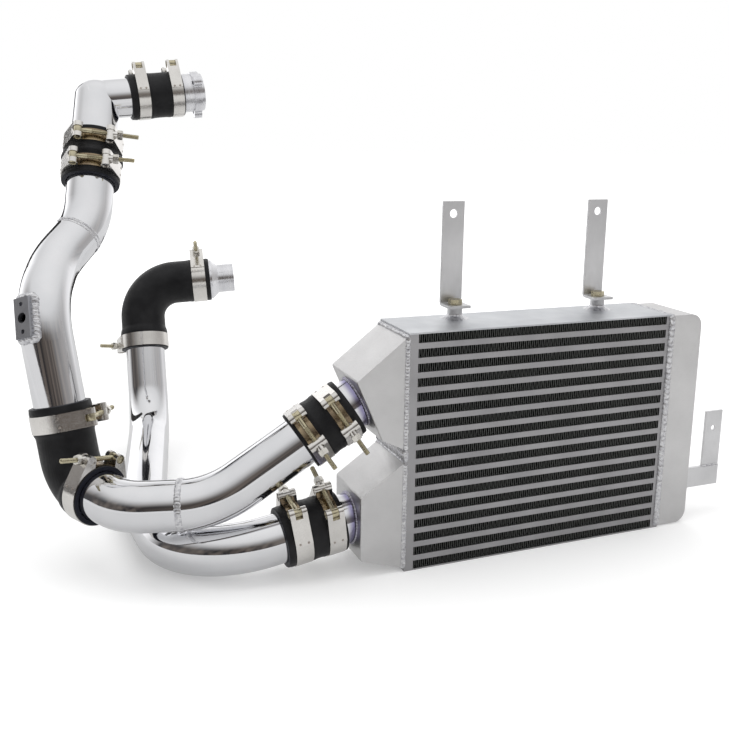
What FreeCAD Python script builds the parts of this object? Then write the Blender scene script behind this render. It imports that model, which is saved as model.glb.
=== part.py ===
import FreeCAD, Part
import math
import os

# A front-mount intercooler with its two polished pipe runs.
# Millimetres, +Z up, +X towards the return tank, -Y out of the face of the core.
# The origin is the middle of the core's underside, which stands on the floor.
os.makedirs("parts", exist_ok=True)
V = FreeCAD.Vector

# General clearances
FIT = 0.15            # hose bore over a pipe, pin in its loop
SEAT = 0.1            # brazed folds inside their row
BAND_GAP = 0.3        # clamp band over a hose

# Core: rows of folded fins between flat charge passages
ROWS = 17
ROW_HEIGHT = 9.0
PASSAGE_HEIGHT = 6.0
CORE_DEPTH = 76.0
FIN_WIDTH = 301.5
END_BAR_WIDTH = 10.0
PLATE = 1.6
SHEET = 0.5
LONG_BAR_DEPTH = 6.0
FIN_FOLDS = 42
FIN_SHEET = 0.8       # measured upright, so about 0.3 square to the sheet
FIN_RECESS = 1.0
TURBULATOR_FOLDS = 7
TURBULATOR_SHEET = 0.6

# End tanks: corners are (out from the core's left end, height)
TANK_WALL = 3.0
TANK_RECESS = 0.8
TANK_ROUND = 2.5
RETURN_TANK_LENGTH = 40.0
RETURN_TANK_ROUND = 14.0
UPPER_TANK_TOP = 248.9
UPPER_TANK_TIP = (54.05, 206.9)
UPPER_TANK_LOW = (26.95, 144.9)
UPPER_TANK_FOOT = 131.5
LOWER_TANK_TOP = 119.7
LOWER_TANK_TIP = (48.25, 86.4)
LOWER_TANK_LOW = (47.75, 18.5)
LOWER_TANK_FOOT = 4.0
RETURN_TANK_SETBACK = 1.5   # below the top plate and above the floor
STUB_INSET = 20.0           # a stub is drawn this far back into its tank, then cut at the face
STUB_END = 26.0

# Pipes, hoses and elbows
PIPE_R = 25.5
PIPE_WALL = 2.0
SLIM_PIPE_R = 22.0
HOSE_WALL = 5.2
ELBOW_WALL = 3.2
CUFF_WALL = 4.7       # the elbow ends that are stretched over a pipe
CUFF_LENGTH = 25.0
CUFF_TAPER = 6.0
SLIM_HOSE_WALL = 3.4
HUMP = 2.4
HUMP_CLEAR = 6.0      # hump end to hose end, past the band
PIPE_GAP = 4.0        # between a stub and its pipe inside their hose
RISER_GAP = 8.0       # the same inside the humped hose

# Corners of the two runs: out from the core's left end, back from its middle, and up
FRONT_CORNERS = ((40.75, 0, 177.0), (185.25, 8.0, 84.0), (265.25, 37.0, 80.0), (305.25, 108.0, 85.0),
                 (326.25, 146.0, 264.5), (307.25, 199.0, 299.5), (269.25, 232.0, 335.0),
                 (244.25, 307.6, 465.3))
FRONT_BENDS = (108.0, 54.0, 40.0, 78.0, 90.0, 90.0)
REAR_CORNERS = ((47.75, 0, 52.5), (219.75, 0, 25.5), (230.25, 168.5, 25.5), (182.25, 405.0, 47.5),
                (176.25, 480.5, 223.5), (52.75, 455.5, 233.5))
REAR_BENDS = (93.0, 76.5, 82.0, 47.5)
TOP_CORNER_OUT = 244.25
TOP_CORNER_UP = 469.3
TOP_SLOPE = 0.11

# Stations along the runs where the pieces start and end
UPPER_HOSE = (9.0, 69.0)
LOWER_HOSE = (11.0, 74.0)
FRONT_PIPE_END = 322.0
FRONT_ELBOW = (292.0, 410.0)
RISER_START = 376.0
RISER_END = 708.0
RISER_HOSE = (683.0, 740.5)
REAR_PIPE_END = 670.0
REAR_ELBOW = (642.0, 807.0)
TOP_PIPE_END = 68.0
TOP_HOSE = (36.0, 96.5)
CROWN_ROUND = 17.0
LEVEL_OVERLAP = 10.0

# Turned adapters at the two free ends
ADAPTER_START = 74.0
FLANGE_BACK = 108.0
FLANGE_THICK = 9.0
FLANGE_R = 24.0
NOSE_R = 21.5
FLANGE_NOSE = 3.5
FLANGE_BORE_R = 19.0
LOBE_TURNS = (90, 210, 330)
LOBE_CIRCLE_R = 22.5
LOBE_R = 7.2
LOBE_HOLE_R = 2.2
SPIGOT_R = 19.5
SPIGOT_BORE_R = 17.0
SHOULDER_R = 27.0
SHOULDER_LENGTH = 3.0
ADAPTER_SEAT = 30.0
STEP_CONE = 8.0

# Hose clamps
BAND_WIDTH = 18.0
SLIM_BAND_WIDTH = 13.0
BAND_THICK = 0.8
LOOP_R = 5.1
LOOP_WALL = 0.7
LOOP_SLOT = 7.4
OVERLAP_ANGLE = 7.0
SHANK_RISE = 5.5      # bolt line above the hose
LOOP_REACH = 17.0     # from the middle of the gap to each loop
PIN_SHORT = 1.0       # each pin end stops this far inside its band edge
BOLT_R = 2.5
BOLT_TAIL = 47.0
NUT_FLATS = 9.0
NUT_HEIGHT = 6.0
BRIDGE_INSET = 4.0    # the bridge is narrower than its band by this much
BRIDGE_THICK = 0.6

# Mounting brackets
STRAP_WIDTH = 25.0
STRAP_THICK = 3.0
BRACKET_X = (-84.0, 96.0)
BRACKET_INSET = 20.0  # bolt line to the back face of the core
BRACKET_TOP = 374.5
BRACKET_HOLE_Z = 361.5
BRACKET_HOLE_R = 4.5
BOSS_R = 8.0
BOSS_HEIGHT = 12.0
BOSS_BOLT_R = 4.0
HEX_FLATS = 13.0
HEX_HEIGHT = 5.3
STRAP_BEND = 5.0
BOLT_TIP_GAP = 1.0    # bolt tip to the top plate

# Side arm on the return tank
ARM_END = 277.0
ARM_LOW = 25.5
ARM_THICK = 5.0
TAB_TOP = 120.0
TAB_HOLE_Z = 98.5
TAB_HOLE_R = 3.2

# Sensor flange on the riser
SENSOR_STATION = 495.0
SENSOR_FACING = (-0.73, -0.62, 0.29)
SENSOR_WIDTH = 18.5
SENSOR_HEIGHT = 41.5
SENSOR_REACH = 30.5
SENSOR_PORT_R = 5.2
SENSOR_SCREW_R = 2.2
SENSOR_SCREW_SPACING = 28.0
SENSOR_SCREW_DEPTH = 10.0

PITCH = ROW_HEIGHT + PASSAGE_HEIGHT
CORE_HEIGHT = ROWS * ROW_HEIGHT + (ROWS - 1) * PASSAGE_HEIGHT + 2 * PLATE
HALF_DEPTH = CORE_DEPTH / 2
HALF_FINS = FIN_WIDTH / 2
CORE_END = HALF_FINS + END_BAR_WIDTH
PIPE_BORE = PIPE_R - PIPE_WALL
BRACKET_Y = HALF_DEPTH - BRACKET_INSET
TOP_PIPE_START = RISER_END + RISER_GAP
TOP_LENGTH = FLANGE_BACK + FLANGE_THICK + FLANGE_NOSE
OVERRUN = 1.0         # how far a cutting shape runs past what it cuts

nodes = {}


def keep(name, shapes):
    """File one solid, or a group of separate like solids, under its node name."""
    group = shapes if isinstance(shapes, list) else [shapes]
    solids = [solid for shape in group for solid in shape.Solids]
    nodes[name] = solids[0] if len(solids) == 1 else Part.makeCompound(solids)


def box(low, high):
    size = V(*high) - V(*low)
    return Part.makeBox(size.x, size.y, size.z, V(*low))


def prism(outline, start, travel):
    """Outline points are (x, z) pairs, drawn at y = start and run along Y."""
    points = [V(x, start, z) for x, z in outline]
    return Part.Face(Part.makePolygon(points + points[:1])).extrude(V(0, travel, 0))


def rod(radius, start, end):
    travel = end - start
    return Part.makeCylinder(radius, travel.Length, start, travel)


def hexagon(flats, turn=0):
    """Corners round the middle as pairs, the first repeated last."""
    reach = flats / math.sqrt(3)
    angles = [math.radians(60 * index + turn) for index in range(7)]
    return [(reach * math.cos(angle), reach * math.sin(angle)) for angle in angles]


def inset(outline, steps):
    """Move each side of an anticlockwise outline inwards by its own step."""
    count = len(outline)
    sides = []
    for index in range(count):
        a, b = V(*outline[index]), V(*outline[(index + 1) % count])
        along = (b - a).normalize()
        inward = V(-along.y, along.x, 0)
        sides.append((a + inward * steps[index], along))
    corners = []
    for index in range(count):
        (p, d), (r, e) = sides[index - 1], sides[index]
        cross = d.x * e.y - d.y * e.x
        t = ((r.x - p.x) * e.y - (r.y - p.y) * e.x) / cross
        corners.append((p.x + d.x * t, p.y + d.y * t))
    return corners


# Routes: straight legs joined by round bends
def make_route(corners, radii):
    corners = [V(*corner) for corner in corners]
    pieces = []
    start = corners[0]
    for corner, after, radius in zip(corners[1:-1], corners[2:], radii):
        into = (corner - start).normalize()
        out = (after - corner).normalize()
        turn = into.getAngle(out)
        trim = radius * math.tan(turn / 2)
        first = corner - into * trim
        axis = into.cross(out).normalize()
        centre = first + axis.cross(into) * radius
        pieces.append(("leg", start, first, (first - start).Length))
        pieces.append(("bend", first, (centre, axis, turn), radius * turn))
        start = corner + out * trim
    pieces.append(("leg", start, corners[-1], (corners[-1] - start).Length))
    return pieces


def turned(point, centre, axis, angle):
    return centre + FreeCAD.Rotation(axis, math.degrees(angle)).multVec(point - centre)


def route_wire(route, low, high):
    """The stretch of the route from station low to station high."""
    edges = []
    station = 0.0
    for kind, start, shape, length in route:
        a = max(low - station, 0.0) if not (station == 0.0 and low < 0) else low
        b = min(high - station, length)
        if route[-1][2] is shape and high - station > length:
            b = high - station
        if b - a > 1e-4:
            if kind == "leg":
                along = (shape - start).normalize()
                edges.append(Part.makeLine(start + along * a, start + along * b))
            else:
                centre, axis, turn = shape
                stops = [turned(start, centre, axis, turn * s / length) for s in (a, (a + b) / 2, b)]
                edges.append(Part.Arc(*stops).toShape())
        station += length
    return Part.Wire(edges)


def route_point(route, station):
    """Point and forward direction at a station."""
    for kind, start, shape, length in route:
        if station <= length or route[-1][2] is shape:
            if kind == "leg":
                along = (shape - start).normalize()
                return start + along * station, along
            centre, axis, turn = shape
            angle = turn * station / length
            point = turned(start, centre, axis, angle)
            return point, axis.cross(point - centre).normalize()
        station -= length


def sweep(route, low, high, radius):
    spine = route_wire(route, low, high)
    point, along = route_point(route, low)
    ring = Part.Wire(Part.makeCircle(radius, point, along))
    return spine.makePipeShell([ring], True, False)


def tube(route, low, high, outer, inner):
    return sweep(route, low, high, outer).cut(sweep(route, low, high, inner))


def left_of_core(corners):
    """Corners given outwards from the core's left end, as places in the frame."""
    return [(-CORE_END - corner[0], *corner[1:]) for corner in corners]


FRONT_RUN = make_route(left_of_core(FRONT_CORNERS), FRONT_BENDS)
REAR_RUN = make_route(left_of_core(REAR_CORNERS), REAR_BENDS)
FRONT_LENGTH = sum(piece[3] for piece in FRONT_RUN)
REAR_LENGTH = sum(piece[3] for piece in REAR_RUN)
TOP_CORNER = V(-CORE_END - TOP_CORNER_OUT, FRONT_CORNERS[-1][1], TOP_CORNER_UP)
TOP_WAY = V(1, 0, TOP_SLOPE).normalize()
TOP_RUN = [("leg", TOP_CORNER, TOP_CORNER + TOP_WAY * TOP_LENGTH, TOP_LENGTH)]

# Core stack, from the underside up
def row_floor(index):
    return PLATE + index * PITCH


def passage_floor(index):
    return row_floor(index) + ROW_HEIGHT


keep("core_bottom_plate", box((-CORE_END, -HALF_DEPTH, 0), (CORE_END, HALF_DEPTH, PLATE)))
keep("core_top_plate",
     box((-CORE_END, -HALF_DEPTH, CORE_HEIGHT - PLATE), (CORE_END, HALF_DEPTH, CORE_HEIGHT)))

sheets = []
long_bars = []
for index in range(ROWS - 1):
    floor = passage_floor(index)
    ceiling = floor + PASSAGE_HEIGHT
    sheets.append(box((-CORE_END, -HALF_DEPTH, floor), (CORE_END, HALF_DEPTH, floor + SHEET)))
    sheets.append(box((-CORE_END, -HALF_DEPTH, ceiling - SHEET), (CORE_END, HALF_DEPTH, ceiling)))
    for side in (-1, 1):
        near, far = sorted((side * HALF_DEPTH, side * (HALF_DEPTH - LONG_BAR_DEPTH)))
        long_bars.append(box((-CORE_END, near, floor + SHEET), (CORE_END, far, ceiling - SHEET)))
keep("parting_sheets", sheets)
keep("charge_side_bars", long_bars)

end_bars = []
for index in range(ROWS):
    floor = row_floor(index)
    for side in (-1, 1):
        near, far = sorted((side * HALF_FINS, side * CORE_END))
        end_bars.append(box((near, -HALF_DEPTH, floor), (far, HALF_DEPTH, floor + ROW_HEIGHT)))
keep("air_side_bars", end_bars)


def folded(width, height, folds, sheet):
    """Zigzag strip outline, width by height about the origin."""
    count = 2 * folds
    top = []
    for index in range(count + 1):
        x = width * (index / count - 0.5)
        z = (height / 2 if index % 2 else sheet - height / 2)
        top.append((x, z))
    return top + [(x, z - sheet) for x, z in reversed(top)]


fin_outline = folded(FIN_WIDTH - 2 * SEAT, ROW_HEIGHT - 2 * SEAT, FIN_FOLDS, FIN_SHEET)
fin = prism(fin_outline, FIN_RECESS - HALF_DEPTH, CORE_DEPTH - 2 * FIN_RECESS)
keep("cooling_fins", [fin.translated(V(0, 0, row_floor(index) + ROW_HEIGHT / 2)) for index in range(ROWS)])

inside_depth = CORE_DEPTH - 2 * LONG_BAR_DEPTH - 2 * SEAT
inside_height = PASSAGE_HEIGHT - 2 * SHEET - 2 * SEAT
fold_outline = folded(inside_depth, inside_height, TURBULATOR_FOLDS, TURBULATOR_SHEET)
strip = prism(fold_outline, -CORE_END, 2 * CORE_END)
strip.rotate(V(0, 0, 0), V(0, 0, 1), 90)
keep("charge_turbulators",
     [strip.translated(V(0, 0, passage_floor(index) + PASSAGE_HEIGHT / 2)) for index in range(ROWS - 1)])

# Left tanks: folded and welded wedges, open to the core
TANK_HALF = HALF_DEPTH - TANK_RECESS


def wedge_tank(outline):
    """The last side of the outline lies on the core and is left open."""
    solid = prism(outline, -TANK_HALF, 2 * TANK_HALF)
    outer = [edge for edge in solid.Edges
             if all(abs(vertex.X + CORE_END) > 0.01 for vertex in edge.Vertexes)]
    solid = solid.makeFillet(TANK_ROUND, outer)
    steps = [TANK_WALL] * (len(outline) - 1) + [-TANK_WALL]
    hollow = prism(inset(outline, steps), TANK_WALL - TANK_HALF, 2 * (TANK_HALF - TANK_WALL))
    return solid.cut(hollow)


upper_outline = left_of_core([(0, UPPER_TANK_TOP), UPPER_TANK_TIP, UPPER_TANK_LOW, (0, UPPER_TANK_FOOT)])
lower_outline = left_of_core([(0, LOWER_TANK_TOP), LOWER_TANK_TIP, LOWER_TANK_LOW, (0, LOWER_TANK_FOOT)])
upper_tank = wedge_tank(upper_outline)
lower_tank = wedge_tank(lower_outline)

# Stubs: short tubes butted on the tank faces over an open hole
def stub(route, tank_outline, tank):
    body = tube(route, -STUB_INSET, STUB_END, PIPE_R, PIPE_BORE)
    block = prism(tank_outline, -CORE_DEPTH, 2 * CORE_DEPTH)
    return body.cut(block), tank.cut(sweep(route, -STUB_INSET, STUB_END, PIPE_BORE))


upper_stub, upper_tank = stub(FRONT_RUN, upper_outline, upper_tank)
lower_stub, lower_tank = stub(REAR_RUN, lower_outline, lower_tank)
keep("upper_inlet_tank", upper_tank)
keep("lower_outlet_tank", lower_tank)
keep("upper_tank_stub", upper_stub)
keep("lower_tank_stub", lower_stub)

# Return tank: a full-height box with rounded outer corners
return_low, return_high = RETURN_TANK_SETBACK, CORE_HEIGHT - RETURN_TANK_SETBACK
far_end = CORE_END + RETURN_TANK_LENGTH
tank = box((CORE_END, -TANK_HALF, return_low), (far_end, TANK_HALF, return_high))
corner_edges = [edge for edge in tank.Edges
                if all(abs(v.X - far_end) < 0.01 for v in edge.Vertexes) and abs(edge.BoundBox.YLength) > 1]
tank = tank.makeFillet(RETURN_TANK_ROUND, corner_edges)
hollow = box((CORE_END - OVERRUN, TANK_WALL - TANK_HALF, return_low + TANK_WALL),
             (far_end - TANK_WALL, TANK_HALF - TANK_WALL, return_high - TANK_WALL))
hollow_edges = [edge for edge in hollow.Edges
                if all(abs(v.X - far_end + TANK_WALL) < 0.01 for v in edge.Vertexes)
                and abs(edge.BoundBox.YLength) > 1]
keep("return_tank", tank.cut(hollow.makeFillet(RETURN_TANK_ROUND - TANK_WALL, hollow_edges)))

# Side arm and its upright tab
keep("side_arm", box((far_end, -ARM_THICK / 2, ARM_LOW), (ARM_END, ARM_THICK / 2, ARM_LOW + STRAP_WIDTH)))
tab = box((ARM_END - STRAP_WIDTH, -STRAP_THICK / 2, ARM_LOW + STRAP_WIDTH),
          (ARM_END, STRAP_THICK / 2, TAB_TOP))
tab_middle = ARM_END - STRAP_WIDTH / 2
tab_hole = rod(TAB_HOLE_R, V(tab_middle, -STRAP_THICK, TAB_HOLE_Z), V(tab_middle, STRAP_THICK, TAB_HOLE_Z))
keep("side_arm_tab", tab.cut(tab_hole))

# Mounting brackets: bosses on the top plate, bent straps and their bolts
FOOT_FLOOR = CORE_HEIGHT + BOSS_HEIGHT
FOOT_FRONT = BRACKET_Y - STRAP_WIDTH / 2
FOOT_BACK = BRACKET_Y + STRAP_WIDTH / 2
bosses = []
bolts = []
for name, x in zip(("left_mounting_bracket", "right_mounting_bracket"), BRACKET_X):
    base = V(x, BRACKET_Y, CORE_HEIGHT)
    up = V(0, 0, 1)
    shank_hole = rod(BOSS_BOLT_R + FIT, base, base + up * (BOSS_HEIGHT + STRAP_THICK))
    bosses.append(rod(BOSS_R, base, base + up * BOSS_HEIGHT).cut(shank_hole))
    half = STRAP_WIDTH / 2
    foot = box((x - half, FOOT_FRONT, FOOT_FLOOR), (x + half, FOOT_BACK, FOOT_FLOOR + STRAP_THICK))
    leg = box((x - half, FOOT_BACK - STRAP_THICK, FOOT_FLOOR), (x + half, FOOT_BACK, BRACKET_TOP))
    strap = foot.fuse(leg).removeSplitter()
    heel = [edge for edge in strap.Edges
            if all(abs(v.Y - FOOT_BACK) < 0.01 and abs(v.Z - FOOT_FLOOR) < 0.01 for v in edge.Vertexes)]
    strap = strap.makeFillet(STRAP_BEND, heel)
    hole = rod(BRACKET_HOLE_R, V(x, FOOT_BACK - 2 * STRAP_THICK, BRACKET_HOLE_Z),
               V(x, FOOT_BACK + STRAP_THICK, BRACKET_HOLE_Z))
    keep(name, strap.cut(hole).cut(shank_hole))
    seat = FOOT_FLOOR + STRAP_THICK
    flats = Part.makePolygon([V(x + a, BRACKET_Y + b, seat) for a, b in hexagon(HEX_FLATS, 30)])
    head = Part.Face(flats).extrude(V(0, 0, HEX_HEIGHT))
    bolts.append(head.fuse(rod(BOSS_BOLT_R, base + up * BOLT_TIP_GAP, V(x, BRACKET_Y, seat))))
keep("bracket_bosses", bosses)
keep("bracket_bolts", bolts)


# Hoses: plain sleeves whose bore fits the pipes inside
def hose(name, route, low, high, pipe_radius, wall):
    bore = pipe_radius + FIT
    keep(name, tube(route, low, high, bore + wall, bore))
    return bore + wall


hose_r = hose("upper_tank_hose", FRONT_RUN, *UPPER_HOSE, PIPE_R, HOSE_WALL)
hose("lower_tank_hose", REAR_RUN, *LOWER_HOSE, PIPE_R, HOSE_WALL)
slim_hose_r = hose("top_hose", TOP_RUN, *TOP_HOSE, SLIM_PIPE_R, SLIM_HOSE_WALL)


def cuff(route, end, inward):
    """Thicker end of an elbow, easing down to its plain wall."""
    mouth, way = route_point(route, end)
    way = way * inward
    cuff_r = PIPE_R + FIT + CUFF_WALL
    collar = rod(cuff_r, mouth, mouth + way * CUFF_LENGTH)
    taper = Part.makeCone(cuff_r, PIPE_R + FIT + ELBOW_WALL, CUFF_TAPER, mouth + way * CUFF_LENGTH, way)
    return collar.fuse(taper)


def elbow(name, route, low, high, cuffs):
    body = sweep(route, low, high, PIPE_R + FIT + ELBOW_WALL)
    for end, inward in cuffs:
        body = body.fuse(cuff(route, end, inward))
    keep(name, body.cut(sweep(route, low, high, PIPE_R + FIT)).removeSplitter())


elbow("front_silicone_elbow", FRONT_RUN, *FRONT_ELBOW, [(FRONT_ELBOW[0], 1), (FRONT_ELBOW[1], -1)])
elbow("rear_silicone_elbow", REAR_RUN, *REAR_ELBOW, [(REAR_ELBOW[0], 1)])
cuff_r = PIPE_R + FIT + CUFF_WALL
elbow_r = PIPE_R + FIT + ELBOW_WALL

# The riser hose swells to a hump between its clamps
middle, way = route_point(FRONT_RUN, sum(RISER_HOSE) / 2)
half_length = (RISER_HOSE[1] - RISER_HOSE[0]) / 2
hump_half = half_length - BAND_WIDTH - HUMP_CLEAR
hump_bore = PIPE_R + FIT
hump_outline = [(hump_bore, -half_length), (hose_r, -half_length), (hose_r, -hump_half), (hose_r + HUMP, 0),
                (hose_r, hump_half), (hose_r, half_length), (hump_bore, half_length)]
points = [V(r, 0, z) for r, z in hump_outline]
edges = [Part.makeLine(points[0], points[1]), Part.makeLine(points[1], points[2]),
         Part.Arc(points[2], points[3], points[4]).toShape(), Part.makeLine(points[4], points[5]),
         Part.makeLine(points[5], points[6]), Part.makeLine(points[6], points[0])]
riser_hose = Part.Face(Part.Wire(edges)).revolve(V(0, 0, 0), V(0, 0, 1), 360)
riser_hose.Placement = FreeCAD.Placement(middle, FreeCAD.Rotation(V(0, 0, 1), way))
keep("riser_hose", riser_hose)

# Polished pipes: each end stops a few millimetres short of its neighbour in the hose
keep("front_lower_pipe", tube(FRONT_RUN, STUB_END + PIPE_GAP, FRONT_PIPE_END, PIPE_R, PIPE_BORE))
keep("rear_lower_pipe", tube(REAR_RUN, STUB_END + PIPE_GAP, REAR_PIPE_END, PIPE_R, PIPE_BORE))
riser = tube(FRONT_RUN, RISER_START, RISER_END, PIPE_R, PIPE_BORE)

# Sensor flange: a small block whose back is hollowed to sit on the riser
sensor_point, riser_way = route_point(FRONT_RUN, SENSOR_STATION)
facing = V(*SENSOR_FACING)
facing = (facing - riser_way * facing.dot(riser_way)).normalize()
across = riser_way.cross(facing).normalize()


def sensor_place(shape):
    turn = FreeCAD.Rotation(across, facing, riser_way, "XYZ")
    shape.Placement = FreeCAD.Placement(sensor_point, turn)
    return shape


block = sensor_place(box((-SENSOR_WIDTH / 2, 0, -SENSOR_HEIGHT / 2),
                         (SENSOR_WIDTH / 2, SENSOR_REACH, SENSOR_HEIGHT / 2)))
block = block.cut(sweep(FRONT_RUN, RISER_START, RISER_END, PIPE_R))
port = rod(SENSOR_PORT_R, sensor_point, sensor_point + facing * (SENSOR_REACH + OVERRUN))
block = block.cut(port)
for side in (-1, 1):
    face_point = sensor_point + riser_way * (side * SENSOR_SCREW_SPACING / 2) + facing * SENSOR_REACH
    screw_end = face_point - facing * SENSOR_SCREW_DEPTH
    block = block.cut(rod(SENSOR_SCREW_R, screw_end, face_point + facing * OVERRUN))
keep("sensor_flange", block)
keep("riser_pipe", riser.cut(port))

# Top elbow: an upright tube mitred into a slimmer level one
rise = route_point(FRONT_RUN, FRONT_LENGTH)[1]


def top_elbow(wide, slim, low, high, crown_round):
    """The level leg's outer line runs on over the upright, whose crown is rounded down from it."""
    lean = rise.dot(TOP_WAY)
    outward = math.sqrt(1 - lean ** 2)
    crown_height = crown_round + (slim - crown_round - (wide - crown_round) * lean) / outward
    crown = TOP_CORNER + rise * crown_height
    foot = route_point(FRONT_RUN, low)[0]
    crown = foot + rise * (crown - foot).dot(rise)
    height = (crown - foot).Length
    halfway = crown_round * (1 - math.sqrt(0.5))
    start = V(wide, 0, height - crown_round)
    middle = V(wide - halfway, 0, height - halfway)
    end = V(wide - crown_round, 0, height)
    outline = [Part.makeLine(V(0, 0, 0), V(wide, 0, 0)), Part.makeLine(V(wide, 0, 0), start),
               Part.Arc(start, middle, end).toShape(), Part.makeLine(end, V(0, 0, height)),
               Part.makeLine(V(0, 0, height), V(0, 0, 0))]
    upright = Part.Face(Part.Wire(outline)).revolve(V(0, 0, 0), V(0, 0, 1), 360)
    upright.Placement = FreeCAD.Placement(foot, FreeCAD.Rotation(TOP_WAY, V(0, 0, 0), rise, "ZXY"))
    level = rod(slim, TOP_CORNER - TOP_WAY * LEVEL_OVERLAP, TOP_CORNER + TOP_WAY * high)
    return upright.fuse(level)


outer = top_elbow(PIPE_R, SLIM_PIPE_R, TOP_PIPE_START, TOP_PIPE_END, CROWN_ROUND)
inner = top_elbow(PIPE_BORE, SLIM_PIPE_R - PIPE_WALL, TOP_PIPE_START - OVERRUN, TOP_PIPE_END + OVERRUN,
                  CROWN_ROUND - PIPE_WALL)
keep("top_elbow_pipe", outer.cut(inner))

# Turned adapter with a three-lobed flange at the top of the front run
def along_top(distance):
    return TOP_CORNER + TOP_WAY * distance


adapter = rod(SLIM_PIPE_R, along_top(ADAPTER_START), along_top(FLANGE_BACK))
adapter = adapter.fuse(rod(FLANGE_R, along_top(FLANGE_BACK), along_top(FLANGE_BACK + FLANGE_THICK)))
adapter = adapter.fuse(rod(NOSE_R, along_top(FLANGE_BACK), along_top(TOP_LENGTH)))
holes = rod(FLANGE_BORE_R, along_top(ADAPTER_START - OVERRUN), along_top(TOP_LENGTH + OVERRUN))
for turn in LOBE_TURNS:
    lobe_way = FreeCAD.Rotation(TOP_WAY, turn).multVec(V(0, -1, 0)) * LOBE_CIRCLE_R
    back = along_top(FLANGE_BACK) + lobe_way
    front = back + TOP_WAY * FLANGE_THICK
    adapter = adapter.fuse(rod(LOBE_R, back, front))
    holes = holes.fuse(rod(LOBE_HOLE_R, back - TOP_WAY * OVERRUN, front + TOP_WAY * (FLANGE_NOSE + OVERRUN)))
keep("lobed_flange_adapter", adapter.cut(holes).removeSplitter())

# Stepped turned adapter at the end of the rear run: seat in the hose, shoulder, cone and spigot
end_way = route_point(REAR_RUN, REAR_LENGTH)[1]
spigot_length = REAR_LENGTH - REAR_ELBOW[1] - SHOULDER_LENGTH - STEP_CONE
spigot_start = SHOULDER_LENGTH + STEP_CONE
spigot_end = spigot_start + spigot_length
stepped_outline = [(SPIGOT_BORE_R, -ADAPTER_SEAT), (PIPE_R, -ADAPTER_SEAT), (PIPE_R, 0), (SHOULDER_R, 0),
                   (SHOULDER_R, SHOULDER_LENGTH), (SPIGOT_R, spigot_start), (SPIGOT_R, spigot_end),
                   (SPIGOT_BORE_R, spigot_end)]
stepped_wire = Part.makePolygon([V(r, 0, z) for r, z in stepped_outline + stepped_outline[:1]])
stepped = Part.Face(stepped_wire).revolve(V(0, 0, 0), V(0, 0, 1), 360)
mouth = route_point(REAR_RUN, REAR_ELBOW[1])[0]
stepped.Placement = FreeCAD.Placement(mouth, FreeCAD.Rotation(V(0, 0, 1), end_way))
keep("stepped_adapter", stepped)

# T-bolt hose clamps: band with two loops, T-bolt, trunnion, nut and bridge
clamps = (
    ("upper_tank_hose_outer", FRONT_RUN, 58.0, hose_r, BAND_WIDTH, (-0.33, -0.84, 0.44), -1),
    ("upper_tank_hose_inner", FRONT_RUN, 24.0, hose_r, BAND_WIDTH, (-0.24, -0.93, 0.29), -1),
    ("front_elbow_lower", FRONT_RUN, 302.5, cuff_r, BAND_WIDTH, (0.30, -0.12, 0.95), -1),
    ("front_elbow_upper", FRONT_RUN, 393.5, cuff_r, BAND_WIDTH, (0.90, -0.40, 0.19), 1),
    ("riser_hose_lower", FRONT_RUN, 697.5, hose_r, BAND_WIDTH, (-0.12, -0.85, 0.52), 1),
    ("riser_hose_upper", FRONT_RUN, 728.5, hose_r, BAND_WIDTH, (-0.05, -0.86, 0.51), 1),
    ("top_hose_left", TOP_RUN, 50.0, slim_hose_r, SLIM_BAND_WIDTH, (0.0, 0.22, 0.97), -1),
    ("top_hose_right", TOP_RUN, 88.5, slim_hose_r, SLIM_BAND_WIDTH, (0.0, 0.22, 0.97), -1),
    ("lower_tank_hose_outer", REAR_RUN, 58.0, hose_r, BAND_WIDTH, (-0.15, -0.19, 0.97), 1),
    ("lower_tank_hose_inner", REAR_RUN, 23.0, hose_r, BAND_WIDTH, (-0.14, -0.45, 0.88), 1),
    ("rear_elbow_lower", REAR_RUN, 652.5, cuff_r, BAND_WIDTH, (-0.36, 0.86, -0.36), 1),
    ("rear_elbow_upper", REAR_RUN, 792.0, elbow_r, BAND_WIDTH, (0.06, 0.60, 0.80), 1),
)


def sector(radius_in, radius_out, width, start, sweep_angle):
    """A stretch of flat ring about Z, from start degrees, centred on z = 0."""
    first = V(math.cos(math.radians(start)), math.sin(math.radians(start)), 0)
    corners = [first * radius_in, first * radius_out]
    lift = V(0, 0, width / 2)
    outline = [corners[0] - lift, corners[1] - lift, corners[1] + lift, corners[0] + lift, corners[0] - lift]
    return Part.Face(Part.makePolygon(outline)).revolve(V(0, 0, 0), V(0, 0, 1), sweep_angle)


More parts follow.
